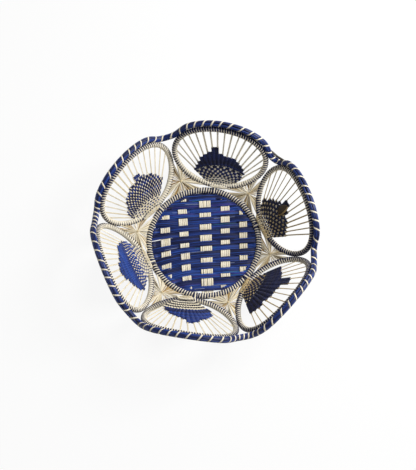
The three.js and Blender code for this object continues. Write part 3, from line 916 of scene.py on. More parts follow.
    def _add_weft_strip(
        self, piece: StrandPiece, row: int, line: float, tilt: float, raise_by: float, width: float,
        tint: float, span: tuple[float, float] | None = None,
    ) -> None:
        """Adds one strip that passes over and under the warps.

        Args:
            piece: The piece that takes it.
            row: Its row.
            line: Its distance from the mat's middle.
            tilt: How far it strays from the slant of the rows.
            raise_by: How far it lies above its fellows.
            width: Its width.
            tint: Its tint.
            span: Where it starts and ends along X, if not at the ring.
        """
        start, end = span or (-self.reach, self.reach)
        x = np.linspace(max(start, -self.reach), min(end, self.reach), self.weft_points)
        y = line + x * (self.climb + tilt) + self._bow(x, line)
        places = (-self.border, *self.warp_places, self.border)
        column = np.interp(x, places, (-0.5, *range(len(self.warp_places)), len(self.warp_places) - 0.5))
        lift = self.wave * np.cos(np.pi * (column + row))
        lift = lift + self._tucked(x, y) * (self.tuck_lift - lift) + raise_by
        self._add_strip(piece, np.stack([x, y, lift], axis=1), width, tint)

    def _add_strip(self, piece: StrandPiece, middle: Points, width: float, tint: float) -> None:
        """Adds one flat strip of the mat, as far as it lies inside the ring.

        Args:
            piece: The piece that takes it.
            middle: Its middle line from the mat's middle.
            width: Its width.
            tint: Its tint.
        """
        inside = middle[np.hypot(middle[:, 0], middle[:, 1]) < self.reach]
        if len(inside) > 4:
            placed = inside + self.ring.middle + self.ring.height * UP
            piece.strands.append(Strand(placed, UP, width, self.strip_thickness, tint))


@dataclass
class PetalHoop:
    """A petal's hoop: blue palm under turns of natural strand, which show most on the inner side."""

    shape: PetalShape
    natural_at: tuple[tuple[float, float], ...]
    pitch: float = 3.2
    turn_points: int = 14
    inset: float = 0.6  # the wrapping is fuller on the inner side, where the spokes are tied in
    strand_radius: float = 3.2
    lean: float = 0.16
    swing: float = 0.3
    natural_limits: tuple[float, float] = (0.1, 1.1)
    natural_tint: float = 0.9
    blue_fill: float = 1.06
    blue_yield: float = 0.96  # how far the blue strand gives way to the natural one
    blue_tint: float = 0.14
    thickness: float = 0.75
    core: float = 6.0

    def _natural_width(self, share: Points, angles: Points) -> Points:
        """Width of the natural strand, wider inside the hoop.

        Args:
            share: Shares of the way round from the hoop's foot.
            angles: Angles round the wire, from the outside of the hoop.

        Returns:
            Widths in millimetres.
        """
        places, shares = zip(*self.natural_at)
        natural = np.interp((share * 360.0 + 270.0) % 360.0, places, shares, period=360.0)
        return self.pitch * np.clip(natural - self.swing * np.cos(angles), *self.natural_limits)

    def build(self) -> None:
        """Makes the two wound strands and the filling under them."""
        line = self.shape.line(self.inset)
        turns = round(line.length() / self.pitch)
        share = np.linspace(0, 1, turns * self.turn_points + 1)
        angles = ROUND * turns * share
        away = angles + np.pi
        node = f"{self.shape.name}_wrap"
        blue = blue_piece(f"{self.shape.name}_hoop_blue_strand", node)
        radius = self.strand_radius + self.lean * np.cos(away)
        width = self.pitch * self.blue_fill - self.blue_yield * self._natural_width(share, away)
        blue.strands = [
            line.core(self.core, 0.0),
            line.wind(away, share, radius, width, self.thickness, self.blue_tint),
        ]
        blue.build()
        natural = natural_piece(f"{self.shape.name}_hoop_natural_strand", node)
        radius = self.strand_radius - self.lean * np.cos(angles)
        width = self._natural_width(share, angles)
        natural.strands = [line.wind(angles, share, radius, width, self.thickness, self.natural_tint)]
        natural.build()


@dataclass(frozen=True)
class FanPlan:
    """How one fan is woven and coloured, with painted light and shade in its tints."""

    edge: tuple[tuple[float, float], ...]  # angle in the fan, and how far the woven motif reaches there
    zones: tuple[tuple[float, Zone], ...]  # how far each way of weaving goes
    foot: tuple[float, float]  # how far the first and the last pair stand beside the middle of the foot
    pairs: int
    spoke_width: float
    # The spoke and weft tints are colour with painted light and shade in them, set fan by fan after how the
    # key lamp falls on each.
    spoke_tint: float
    weft_tints: tuple[float, float]
    split: float = FAR  # distance from the foot where the wefts begin to part the pairs
    flap: float | None = None  # angle of a leaf end that curls up from the motif, painted brown as shade


@dataclass
class PetalFan:
    """A petal's fan: natural spokes in pairs from a dense foot, and wefts woven across them in arcs.

    Near the foot the wefts take the pairs as one, and further out they part them, so that the checks stay
    about the same size.
    """

    shape: PetalShape
    dice: random.Random
    plan: FanPlan
    spoke_thickness: float = 0.7
    spoke_points: int = 36
    spoke_short: tuple[float, float] = (0.2, 1.0)  # how far before the wire the spokes end
    spoke_sway: float = 0.5
    spoke_slack: tuple[float, float] = (-0.4, 0.2)
    spoke_widths: tuple[float, float] = (0.85, 1.15)  # shares of the plan's width
    spoke_tints: float = 0.2  # either way of the plan's tint
    woven_swell: float = 0.4  # share that a strand is wider where it is woven
    parted_swell: float = 0.3  # and where its pair is parted as well
    pair_fill: float = 0.49  # half the distance between the two of a pair, in widths
    weft_thickness: float = 0.7
    weft_stray: float = 0.12
    weft_wobble: float = 0.1
    wobble_pace: float = 1.7
    gap_points: int = 10
    natural_tints: tuple[float, float] = (0.75, 1.0)
    arc_fill: float = 0.95  # width of a blue weft between natural ones, as a share
    lift: float = 0.62
    twine: float = 1.6  # how much further apart twined wefts lie
    overhang: float = 1.3  # of a weft past its last spoke
    most_overhang: float = 0.45  # as a share of the gap between spokes
    foot_fall: float = 0.95  # how far a spoke comes down behind the hoop, as a share of its rise squared
    part_early: float = 0.75  # how far before the split a pair starts to part, in blends
    first_row: float = 6.5
    step: float = 2.4  # of the motif's stairs
    hoop_room: float = 0.5
    hoop_rise: float = 3.9  # height of the spokes where they pass over the hoop's foot
    rise_length: float = 6.0
    foot_length: float = 8.0  # of the stretch of a spoke with closer points
    blend: float = 4.0  # of the stretch where spokes part or come together
    open_spacing: tuple[float, float] = (2.0, 4.6)  # distances between spokes that are close and wide
    open_fill: tuple[float, float] = (0.47, 0.32)  # share of that distance that one strand may take

    def build(self) -> None:
        """Makes the spokes, the blue wefts and the natural wefts."""
        self.fan = self.shape.fan(self.plan.pairs, self.plan.foot)
        self.stairs = self._stairs()
        self._build_spokes()
        node = f"{self.shape.name}_weave"
        blue = blue_piece(f"{self.shape.name}_blue_wefts", node)
        natural = natural_piece(f"{self.shape.name}_natural_wefts", node)
        for row, (radius, weave) in enumerate(self._rows()):
            width = weave.width
            if weave.in_turn and row % 2 == 0:
                piece, tint = natural, self.dice.uniform(*self.natural_tints)
            elif weave.in_turn:
                piece, tint, width = blue, 0.0, weave.width * self.arc_fill
            else:
                # The plan's weft tints are partly painted shade, set after how the key lamp falls on the
                # fan.
                piece, tint = blue, self.dice.uniform(*self.plan.weft_tints)
            for ends in self._runs(radius):
                self._add_weft(piece, row, radius, ends, weave.twined, width, tint)
        if self.plan.flap is not None:
            CurledLeafEnd(self.shape, self.fan, self.plan.flap).build()
        blue.build()
        if natural.strands:
            natural.build()

    def _stairs(self) -> Points:
        """The stepped outer edge of the motif.

        Returns:
            How far the motif reaches in each gap between two pairs, in even steps.
        """
        middle, ahead = ((rows[1:] + rows[:-1]) / 2 for rows in (self.fan.lean, self.fan.ahead))
        reach = np.interp(middle, *zip(*self.plan.edge)) - ahead
        return np.round(reach / self.step) * self.step

    def _rows(self) -> list[tuple[float, Weave]]:
        """The rows of weft, from the foot outwards.

        Returns:
            Distance of each row from the fan's foot, and its way of weaving.
        """
        rows: list[tuple[float, Weave]] = []
        radius = self.first_row
        for until, zone in self.plan.zones:
            while radius < min(until, float(self.stairs.max())):
                rows.append((radius, zone.value))
                radius += zone.value.pitch
        return rows

    def _runs(self, radius: float) -> list[tuple[int, int]]:
        """Stretches of neighbouring gaps that the motif fills.

        Args:
            radius: Distance from the fan's foot.

        Returns:
            The first and the last pair of each stretch.
        """
        runs: list[tuple[int, int]] = []
        for gap, reach in enumerate(self.stairs):
            hoop = max(self.fan.enter[gap : gap + 2]) + self.hoop_room
            if radius > reach or radius < hoop:
                continue
            if runs and runs[-1][1] == gap:
                runs[-1] = (runs[-1][0], gap + 1)
            else:
                runs.append((gap, gap + 1))
        return runs

    def _add_weft(
        self, piece: StrandPiece, row: int, radius: float, ends: tuple[int, int], twined: bool, width: float,
        tint: float,
    ) -> None:
        """Adds one row of weft that passes over and under the spokes, or two on either side of them.

        Args:
            piece: The piece that takes it.
            row: Its number from the foot.
            radius: Its distance from the foot.
            ends: Its first and last pair of spokes.
            twined: Whether it is two strands, one on each side of the spokes.
            width: Its width.
            tint: Its tint.
        """
        past = min(self.most_overhang, self.overhang / float(self.fan.spacing(radius)))
        count = (ends[1] - ends[0]) * self.gap_points + self.gap_points // 2
        place = np.linspace(ends[0] - past, ends[1] + past, count)
        crossing = place if radius < self.plan.split else 2 * place + 0.5
        ways = unit(rows_at(self.fan.ways, place))
        faces = unit(rows_at(self.fan.faces, place))
        wave = np.cos(np.pi * (crossing + row))
        rise = self._rise(radius, np.interp(place, range(self.plan.pairs), self.fan.enter))
        run = radius + self.dice.uniform(-self.weft_stray, self.weft_stray)
        run = run + self.weft_wobble * np.sin(self.wobble_pace * place + row)
        flat = rows_at(self.fan.feet, place) + steps(run, ways)
        for lift in (self.twine * np.abs(wave), -self.twine * np.abs(wave)) if twined else (wave,):
            middle = flat + steps(self.lift * lift + rise, faces)
            piece.strands.append(Strand(middle, faces, width, self.weft_thickness, tint))

    def _rise(self, run: Points | float, enter: Points | float) -> Points:
        """Height of a spoke over its straight line, as it passes over the hoop.

        Args:
            run: Distances from its foot.
            enter: Distance from its foot where it is inside the hoop.

        Returns:
            The heights.
        """
        climb = np.clip((enter + self.rise_length - run) / self.rise_length, 0, 1)
        behind = np.clip(1 - run / enter, 0, 1)
        return self.hoop_rise * climb**2 * (3 - 2 * climb) * np.sqrt(1 - self.foot_fall * behind**2)

    def _build_spokes(self) -> None:
        """Makes the pairs of spokes, drawn together at the foot and ending in the hoop's wrapping."""
        piece = natural_piece(f"{self.shape.name}_fan_spokes", f"{self.shape.name}_spokes")
        for pair in range(self.plan.pairs):
            reach = self.fan.reach[pair]
            edge = float(self.stairs[max(pair - 1, 0) : pair + 1].max())
            end = reach - self.dice.uniform(*self.spoke_short)
            foot = np.arange(0.0, self.foot_length, self.foot_length / 10)
            run = np.concatenate([foot, np.linspace(self.foot_length, end, self.spoke_points)])
            bow = np.sin(np.pi * run / reach)
            sway = self.dice.uniform(-self.spoke_sway, self.spoke_sway) * bow
            proud = self.dice.uniform(*self.spoke_slack) * bow + self._rise(run, self.fan.enter[pair])
            woven = np.clip((edge - run) / self.blend + 0.5, 0, 1)
            parted = woven * np.clip((run - self.plan.split) / self.blend + self.part_early, 0, 1)
            single = self.plan.spoke_width / 2 * self.dice.uniform(*self.spoke_widths)
            spacing = self.fan.spacing(run)
            room = spacing * np.interp(spacing, self.open_spacing, self.open_fill)
            swell = 1 + self.woven_swell * woven + self.parted_swell * parted
            width = np.minimum(single * swell, room)
            apart = (1 - parted) * width * self.pair_fill + parted * spacing / 4
            way, face = self.fan.ways[pair], self.fan.faces[pair]
            line = self.fan.feet[pair] + steps(run, way) + steps(proud, face)
            for aside in (sway * (1 - woven) - apart, sway * (1 - woven) + apart):
                middle = line + steps(aside, np.cross(way, face))
                # The plan's spoke tint is partly painted light and shade.
                tint = self.plan.spoke_tint + self.dice.uniform(-self.spoke_tints, self.spoke_tints)
                piece.strands.append(Strand(middle, face, width, self.spoke_thickness, tint))
        piece.build()


@dataclass
class CurledLeafEnd:
    """The end of a broad leaf, curled up from a fan's motif, with one edge rolled over; its dark brown is
    painted shade on the leaf's back, and its rolled edge is painted paler where the light catches it.
    """

    shape: PetalShape
    fan: FanLayout
    angle: float
    start: float = 36.0  # from the middle of the fan's foot
    length: float = 17.0
    width: float = 10.5
    thickness: float = 1.2
    lift: float = 1.5
    curl: float = 3.0
    roll_width: float = 2.2
    roll_thickness: float = 1.8
    roll_lift: float = 0.6
    # The leaf's dark tint is painted shade; the rolled edge's paler tint is painted light on the edge that
    # faces the lamp.
    tint: float = 0.1
    roll_tint: float = 0.75
    tip: float = 0.1  # share of the width squared at its two ends
    points: int = 17

    def build(self) -> None:
        """Makes the leaf and its rolled edge."""
        piece = StrandPiece(
            f"{self.shape.name}_curled_leaf_end", SHADED_PALM, Slot.NATURAL, (f"{self.shape.name}_weave",)
        )
        pair = int(np.abs(self.fan.lean - self.angle).argmin())
        way, face = self.fan.ways[pair], self.fan.faces[pair]
        share = np.linspace(0, 1, self.points)
        bow = np.sin(np.pi * share)
        run = self.start - self.fan.ahead[pair] + self.length * share
        middle = self.fan.feet[pair] + steps(run, way) + steps(self.lift + self.curl * bow, face)
        facing = unit(face + UP)
        width = self.width * np.sqrt(self.tip + (1 - self.tip) * bow)
        roll = middle + steps(width / 2, np.cross(way, face)) + self.roll_lift * face
        piece.strands = [
            Strand(middle, facing, width, self.thickness, self.tint, sides=12),
            Strand(roll, facing, self.roll_width, self.roll_thickness, self.roll_tint, sides=8),
        ]
        piece.build()


@dataclass
class PalmStar:
    """A sheaf of natural strands between the ring and two hoops, drawn together at a knot."""

    number: int
    azimuth: float
    ring: RingShape
    behind: PetalShape
    ahead: PetalShape
    dice: random.Random
    strands_each: int = 34
    strand_width: float = 1.5
    strand_widths: tuple[float, float] = (0.45, 1.25)  # shares of that width
    strand_points: int = 9
    stagger: tuple[float, float] = (0.1, 0.9)  # place of a strand in its own room
    short: tuple[float, float] = (-2.0, 2.2)  # how far a strand ends before its place, if above zero
    sway: float = 0.6
    at_knot: float = 0.4  # share of its width and height that a strand has at the knot
    thickness: float = 0.5
    waist: float = 12.0  # distance from the knot where a strand has its full width
    place: float = 0.27  # of the knot, between the ring and the point where the hoops meet
    ring_spread: float = 25.0
    ring_bite: float = 0.9  # how far the strands go into the ring's wrapping
    hoop_spread: float = 76.0
    hoop_bite: float = 0.8
    shaded: float = 0.36  # share of the strands that lie a little deeper, with a darker tint that is painted shade between the strands
    shaded_layers: tuple[float, float] = (-0.9, 0.3)
    shaded_tints: tuple[float, float] = (0.0, 0.2)
    layers: tuple[float, float] = (-0.5, 1.5)
    tints: tuple[float, float] = (0.55, 1.0)
    knot_radius: float = 1.5
    knot_length: float = 2.0
    knot_turns: int = 3
    turn_points: int = 14
    knot_width: float = 0.9
    knot_tint: float = 0.45

    def build(self) -> None:
        """Makes the strands and the knot."""
        azimuth = math.radians(self.azimuth)
        from_behind = self.behind.edge_frame(self.behind.meeting)[0]
        from_ahead = self.ahead.edge_frame(math.pi - self.ahead.meeting)[0]
        meeting = (from_behind + from_ahead) / 2
        beside = self.ring.middle + (self.ring.radius + self.ring.tube / 2) * level(azimuth)
        ring_side = beside + self.behind.foot_height * UP
        centre = ring_side + (meeting - ring_side) * self.place
        face = unit(self.ahead.directions(0.0)[1] + self.behind.directions(0.0)[1])
        piece = natural_piece(f"star_{self.number}_strands", f"star_{self.number}")
        for target, rest in self._targets(azimuth):
            piece.strands.append(self._strand(centre, target, rest, face))
        piece.strands.append(self._knot(centre, unit(meeting - ring_side), face))
        piece.build()

    def _targets(self, azimuth: float) -> list[tuple[Points, float]]:
        """Points that the strands run to, and how far short of each they stop.

        Args:
            azimuth: The star's azimuth in radians.

        Returns:
            Points on the ring, the hoop ahead and the hoop behind in turn.
        """
        targets = []
        hoop_rest = self.ahead.hoop_tube / 2 - self.hoop_bite
        for k in range(self.strands_each):
            share = (k + self.dice.uniform(*self.stagger)) / self.strands_each
            on_ring = self.ring.point(azimuth + math.radians(self.ring_spread) * (2 * share - 1))
            targets.append((on_ring, self.ring.tube / 2 - self.ring_bite))
            drop = math.radians(self.hoop_spread) * share
            targets.append((self.ahead.edge_frame(math.pi - self.ahead.meeting + drop)[0], hoop_rest))
            targets.append((self.behind.edge_frame(self.behind.meeting - drop)[0], hoop_rest))
        return targets

    def _strand(self, centre: Points, target: Points, rest: float, face: Points) -> Strand:
        """One strand from the knot to where it catches the ring or a hoop.

        Args:
            centre: The knot.
            target: The point that it runs to.
            rest: How far short of it the strand stops.
            face: The star's face.

        Returns:
            The strand.
        """
        dice = self.dice
        way = unit(target - centre)
        reach = float(np.linalg.norm(target - centre)) - rest - max(0.0, dice.uniform(*self.short))
        run = np.linspace(0, reach, self.strand_points)
        bow = np.sin(np.pi * run / reach)
        # A deep strand's darker tint is painted shade in the gaps between the strands.
        deep = dice.random() < self.shaded
        layer = dice.uniform(*(self.shaded_layers if deep else self.layers))
        tint = dice.uniform(*(self.shaded_tints if deep else self.tints))
        aside = steps(bow * dice.uniform(-self.sway, self.sway), np.cross(way, face))
        proud = layer * (self.at_knot + (1 - self.at_knot) * bow)
        middle = centre + steps(run, way) + aside + steps(proud, face)
        full = self.strand_width * dice.uniform(*self.strand_widths)
        width = full * (self.at_knot + (1 - self.at_knot) * np.clip(run / self.waist, 0, 1))
        return Strand(middle, face, width, self.thickness, tint)

    def _knot(self, centre: Points, axis: Points, face: Points) -> Strand:
        """The few turns that draw the strands together.

        Args:
            centre: The knot.
            axis: Direction of the waist, from the ring towards the rim.
            face: The star's face.

        Returns:
            The turns as one strand.
        """
        share = np.linspace(0, 1, self.turn_points * self.knot_turns + 1)
        angle = ROUND * self.knot_turns * share
        radial = steps(np.cos(angle), np.cross(axis, face)) + steps(np.sin(angle), face)
        middle = centre + radial * self.knot_radius + steps(share - 0.5, self.knot_length * axis)
        return Strand(middle, radial, self.knot_width, self.thickness, self.knot_tint)


@dataclass
class PetalTie:
    """The strands that hold a hoop's foot to the base ring."""

    shape: PetalShape
    dice: random.Random
    turns: int = 3
    strand_width: float = 1.9
    pitch: float = 1.938
    thickness: float = 0.6
    clearance: float = 0.35
    begin: float = 150.0  # angle round the ring where a strand comes up
    drift: float = 0.8
    ring_points: int = 9
    hoop_points: int = 12
    blue_tint: float = 0.12
    natural_tint: float = 0.85

    def build(self) -> None:
        """Makes the tie's strands side by side, blue and natural in turn."""
        name = f"{self.shape.name}_tie"
        blue = blue_piece(f"{name}_blue_strands", name)
        natural = natural_piece(f"{name}_natural_strands", name)
        for k in range(self.turns):
            shift = (k - (self.turns - 1) / 2) * self.pitch
            slant = self.dice.uniform(-self.drift, self.drift)
            if k % 2:
                natural.strands.append(self._turn(shift, slant, self.natural_tint))
            else:
                blue.strands.append(self._turn(shift, slant, self.blue_tint))
        blue.build()
        natural.build()

    def _turn(self, shift: float, slant: float, tint: float) -> Strand:
        """One strand over the ring and round the hoop's foot.

        Args:
            shift: Its distance from the petal's middle line.
            slant: How far it drifts sideways on its way.
            tint: Its tint.

        Returns:
            The strand.
        """
        shape, ring = self.shape, self.shape.ring
        ring_radius = ring.tube / 2 + self.clearance
        hoop_radius = shape.hoop_tube / 2 + self.clearance
        lift = math.radians(shape.foot_lift)
        tangent = math.acos((ring_radius - hoop_radius) / shape.reach)
        parts = []
        over = np.linspace(math.radians(self.begin), lift + tangent, self.ring_points)
        under = np.linspace(lift + tangent, lift - tangent, self.hoop_points)
        for angle, tube, radius, height in (
            (over, ring_radius, ring.radius, ring.height),
            (under, hoop_radius, shape.foot_radius, shape.foot_height),
        ):
            facing = steps(np.cos(angle), shape.out) + steps(np.sin(angle), UP)
            parts.append((radius * shape.out + height * UP + tube * facing, facing))
        middle, facing = (np.concatenate(rows) for rows in zip(*parts))
        aside = steps(shift + slant * np.linspace(-0.5, 0.5, len(middle)), shape.ahead)
        return Strand(ring.middle + middle + aside, facing, self.strand_width, self.thickness, tint)


@dataclass
class Rim:
    """The rim: blue strips laid along a wavy wire, bound by one natural strand that spirals round them."""

    petals: Sequence[PetalShape]
    dice: random.Random
    offset: float = 7.3  # from a hoop's wire to the rim's
    turn: float = 8.0  # degrees that the rim lies outside the hoops' faces
    notches: tuple[float, ...] = (9.0, 18.0, 18.0, 18.0, 18.0, 18.0)  # span of the dip before each petal
    points_each: int = 7
    last_turn: float = 1.4  # radians up a hoop where the search for the dip's edge ends
    curve_points: int = 20  # between two points
    first_petal: int = 4
    line_points: int = 1400
    core: float = 5.2
    core_tint: float = 0.05
    strips: int = 8
    strip_points: int = 14  # between two turns of the lashing
    strip_radius: float = 3.5
    strip_width: float = 3.3
    strip_thickness: float = 0.8
    strip_swing: float = 0.25
    strip_waves: tuple[int, int] = (5, 11)  # swings of a strip on its way round
    strip_phases: tuple[float, float] = (0.0, 6.0)
    strip_tints: tuple[float, float] = (0.06, 0.62)
    pinch: float = 1.0
    pinch_angle: float = 0.75
    close_at: tuple[float, ...] = (172.0, 290.5)  # azimuths where the lashing's turns lie close together
    closeness: float = 0.8
    close_span: float = 6.0
    uneven: tuple[tuple[float, int], ...] = ((0.14, 9), (0.1, 23))  # how much, and how often round the rim
    lash_turns: int = 84
    turn_points: int = 18
    lash_ends: tuple[float, float] = (0.0008, 0.9992)
    lash_radius: float = 3.7
    lash_width: float = 2.0
    lash_thickness: float = 0.75
    lash_tint: float = 0.9

    def _point(self, petal: PetalShape, turn: Points) -> Points:
        """Points of the rim beside a petal's hoop, at angles round the hoop.

        Args:
            petal: The petal.
            turn: Angles in radians.

        Returns:
            The points.
        """
        wide, tall = petal.oval(turn)
        next_wide, next_tall = petal.oval(turn + petal.turn_step)
        away = unit(np.stack([next_tall - tall, wide - next_wide], axis=-1))
        wide, tall = np.stack([wide, tall]) + (away * self.offset * math.cos(math.radians(self.turn))).T
        behind = self.offset * math.sin(math.radians(self.turn))
        return petal.point(wide, tall) - behind * petal.directions(tall)[1]

    def _knots(self) -> Points:
        """Points that the rim runs through.

        Returns:
            The points, petal by petal from the rim's splice, clockwise seen from above.
        """
        knots = []
        for k in range(len(self.petals)):
            petal = self.petals[(self.first_petal + k) % len(self.petals)]
            turns = np.arange(petal.meeting, self.last_turn, petal.turn_step)
            from_axis = self._point(petal, turns) - petal.ring.middle
            border = petal.out * math.sin(petal.spread) - petal.ahead * math.cos(petal.spread)
            first, last = (
                float(turns[np.argmax(from_axis @ border >= self.notches[number % len(self.petals)] / 2)])
                for number in (petal.number - 1, petal.number)
            )
            knots.append(self._point(petal, np.linspace(math.pi - first, last, self.points_each)))
        return np.concatenate(knots)[::-1]

    def line(self) -> TubeLine:
        """The rim's centreline, a smooth closed curve through its knots.

        Returns:
            The line, with directions outward and up.
        """
        knots = self._knots()
        before, after, beyond = (np.roll(knots, shift, axis=0) for shift in (1, -1, -2))
        gap_before, gap, gap_after = (
            np.sqrt(np.linalg.norm(there - here, axis=1))[:, None]
            for here, there in ((before, knots), (knots, after), (after, beyond))
        )
        leave = (knots - before) / gap_before - (after - before) / (gap_before + gap) + (after - knots) / gap
        arrive = (after - knots) / gap - (beyond - knots) / (gap + gap_after) + (beyond - after) / gap_after
        t = np.linspace(0, 1, self.curve_points, endpoint=False)[None, :, None]
        curve = (
            (2 * t**3 - 3 * t**2 + 1) * knots[:, None] + (t**3 - 2 * t**2 + t) * (leave * gap)[:, None]
            + (3 * t**2 - 2 * t**3) * after[:, None] + (t**3 - t**2) * (arrive * gap)[:, None]
        ).reshape(-1, 3)
        along = unit(np.roll(curve, -1, axis=0) - np.roll(curve, 1, axis=0))
        curve, along = (np.concatenate([rows, rows[:1]]) for rows in (curve, along))
        outward = unit(np.cross(UP, along))
        return TubeLine.evenly(curve, outward, np.cross(along, outward), self.line_points)

    def _wind_closely(self, line: TubeLine) -> None:
        """Works out how many turns of the lashing come before each point of the rim's line.

        Args:
            line: The rim's line.
        """
        from_axis = line.centre - self.petals[0].ring.middle
        azimuth = np.degrees(np.arctan2(from_axis[:, 1], from_axis[:, 0]))
        close = 1.0 + sum(amount * np.sin(np.radians(times * azimuth)) for amount, times in self.uneven)
        for place in self.close_at:
            away = (azimuth - place + 180.0) % 360.0 - 180.0
            close += self.closeness * np.exp(-((away / self.close_span) ** 2))
        turns = np.concatenate([[0.0], np.cumsum(close[1:])])
        self.turns_before = self.lash_turns * turns / turns[-1]

    def _lash_angle(self, share: Points) -> Points:
        """Angle of the lashing round the rim at shares of the way along it."""
        places = np.linspace(0, 1, len(self.turns_before))
        return -ROUND * np.interp(share, places, self.turns_before)

    def _bulge(self, share: Points, angles: Points) -> Points:
        """How far the strips lie from the wire: pressed in under the lashing, proud between its turns."""
        away = (self._lash_angle(share) - angles + np.pi) % ROUND - np.pi
        return self.strip_radius - self.pinch * np.exp(-((away / self.pinch_angle) ** 2))

    def build(self) -> None:
        """Makes the strips and the lashing."""
        line = self.line()
        self._wind_closely(line)
        share = np.linspace(0, 1, self.lash_turns * self.strip_points + 1)
        bundle = blue_piece("rim_blue_strips", "rim_wrap")
        bundle.strands.append(line.core(self.core, self.core_tint))
        for k in range(self.strips):
            waves = self.dice.randint(*self.strip_waves)
            swing = self.strip_swing * np.sin(ROUND * share * waves + self.dice.uniform(*self.strip_phases))
            angles = ROUND * k / self.strips + swing
            radius = self._bulge(share, angles)
            tint = self.dice.uniform(*self.strip_tints)
            bundle.strands.append(
                line.wind(angles, share, radius, self.strip_width, self.strip_thickness, tint)
            )
        bundle.build()
        lashing = natural_piece("rim_lashing_strand", "rim_lashing")
        share = np.linspace(*self.lash_ends, self.lash_turns * self.turn_points + 1)
        angles = self._lash_angle(share)
        lashing.strands.append(
            line.wind(angles, share, self.lash_radius, self.lash_width, self.lash_thickness, self.lash_tint)
        )
        lashing.build()


@dataclass
class Studio:
    """Camera, light and floor of a plain white studio, from the photograph's view; sizes in metres."""

    ring: RingShape
    tilt: float = 16.0
    distance: float = 1.1
    focal_pixels: float = 842.0
    ring_pixel: tuple[float, float] = (204.0, 242.3)
    key_azimuth: float = 28.0
    key_height: float = 42.0
    key_distance: float = 1.1
    key_size: float = 0.5
    key_power: float = 14.5
    fill_power: float = 0.3
    floor_half: float = 4.0
    floor_cells: int = 16
    sweep_width: float = 1.0
    sweep_height: float = 1.2

    def build(self) -> None:
        """Makes the camera, the lamp, the world and the floor."""
        self._build_camera()
        self._build_light()
        self._build_floor()
        bpy.context.scene.view_settings.view_transform = "Standard"

    def _build_camera(self) -> None:
        """Makes the camera, with the small shift of the photograph's framing."""
        data = bpy.data.cameras.new("camera")
        data.sensor_width = 36.0
        data.lens = self.focal_pixels * data.sensor_width / PHOTO_HEIGHT
        data.shift_x = (PHOTO_WIDTH / 2 - self.ring_pixel[0]) / PHOTO_HEIGHT
        data.shift_y = (self.ring_pixel[1] - PHOTO_HEIGHT / 2) / PHOTO_HEIGHT
        tilt = math.radians(self.tilt)
        back = Vector((0.0, -math.sin(tilt), math.cos(tilt)))
        camera = bpy.data.objects.new("camera", data)
        target = Vector(self.ring.middle + self.ring.height * UP) * MM
        camera.location = target + back * self.distance
        camera.rotation_euler = (tilt, 0.0, 0.0)
        bpy.context.scene.collection.objects.link(camera)
        bpy.context.scene.camera = camera

    def _build_light(self) -> None:
        """Makes a large soft key lamp and an even pale surround."""
        key = bpy.data.lights.new("key", "AREA")
        key.shape = "DISK"
        key.size = self.key_size
        key.energy = self.key_power
        lamp = bpy.data.objects.new("key", key)
        height = math.radians(self.key_height)
        way = Vector(math.cos(height) * level(math.radians(self.key_azimuth)) + math.sin(height) * UP)
        lamp.location = way * self.key_distance
        lamp.rotation_euler = way.to_track_quat("Z", "Y").to_euler()
        bpy.context.scene.collection.objects.link(lamp)
        world = bpy.data.worlds.new("studio")
        world.use_nodes = True
        tree = world.node_tree
        tree.nodes.clear()
        surround = add_node(
            tree, "ShaderNodeBackground",
            {"socket:Color": linear_colour("#ffffff"), "socket:Strength": self.fill_power},
        )
        add_node(tree, "ShaderNodeOutputWorld", None, Surface=surround.outputs["Background"])
        bpy.context.scene.world = world

    def _build_floor(self) -> None:
        """Makes a white floor, swept up at its far border."""
        mesh = bpy.data.meshes.new("floor")
        sheet = bmesh.new()
        cells = self.floor_cells
        bmesh.ops.create_grid(sheet, x_segments=cells, y_segments=cells, size=self.floor_half)
        for vertex in sheet.verts:
            border = max(abs(vertex.co.x), abs(vertex.co.y)) - self.floor_half + self.sweep_width
            vertex.co.z = self.sweep_height * max(0.0, border) / self.sweep_width
        sheet.to_mesh(mesh)
        sheet.free()
        floor = bpy.data.objects.new("floor", mesh)
        bpy.context.scene.collection.objects.link(floor)
        mesh.materials.append(WHITE_PAPER.material())


@dataclass(frozen=True)
class PetalPlan:
    """What is particular to one petal: its bend, its fan and its colours, with its fan's painted light and
    shade.
    """

    bound: float  # azimuth where it begins
    slant: float
    slopes: tuple[float, float]  # at its foot and its crown
    fan: tuple[float, float, float]  # shift of its foot, aim and half angle
    natural_at: tuple[tuple[float, float], ...]  # angle round the hoop, and natural share of its wrapping
    weave: FanPlan
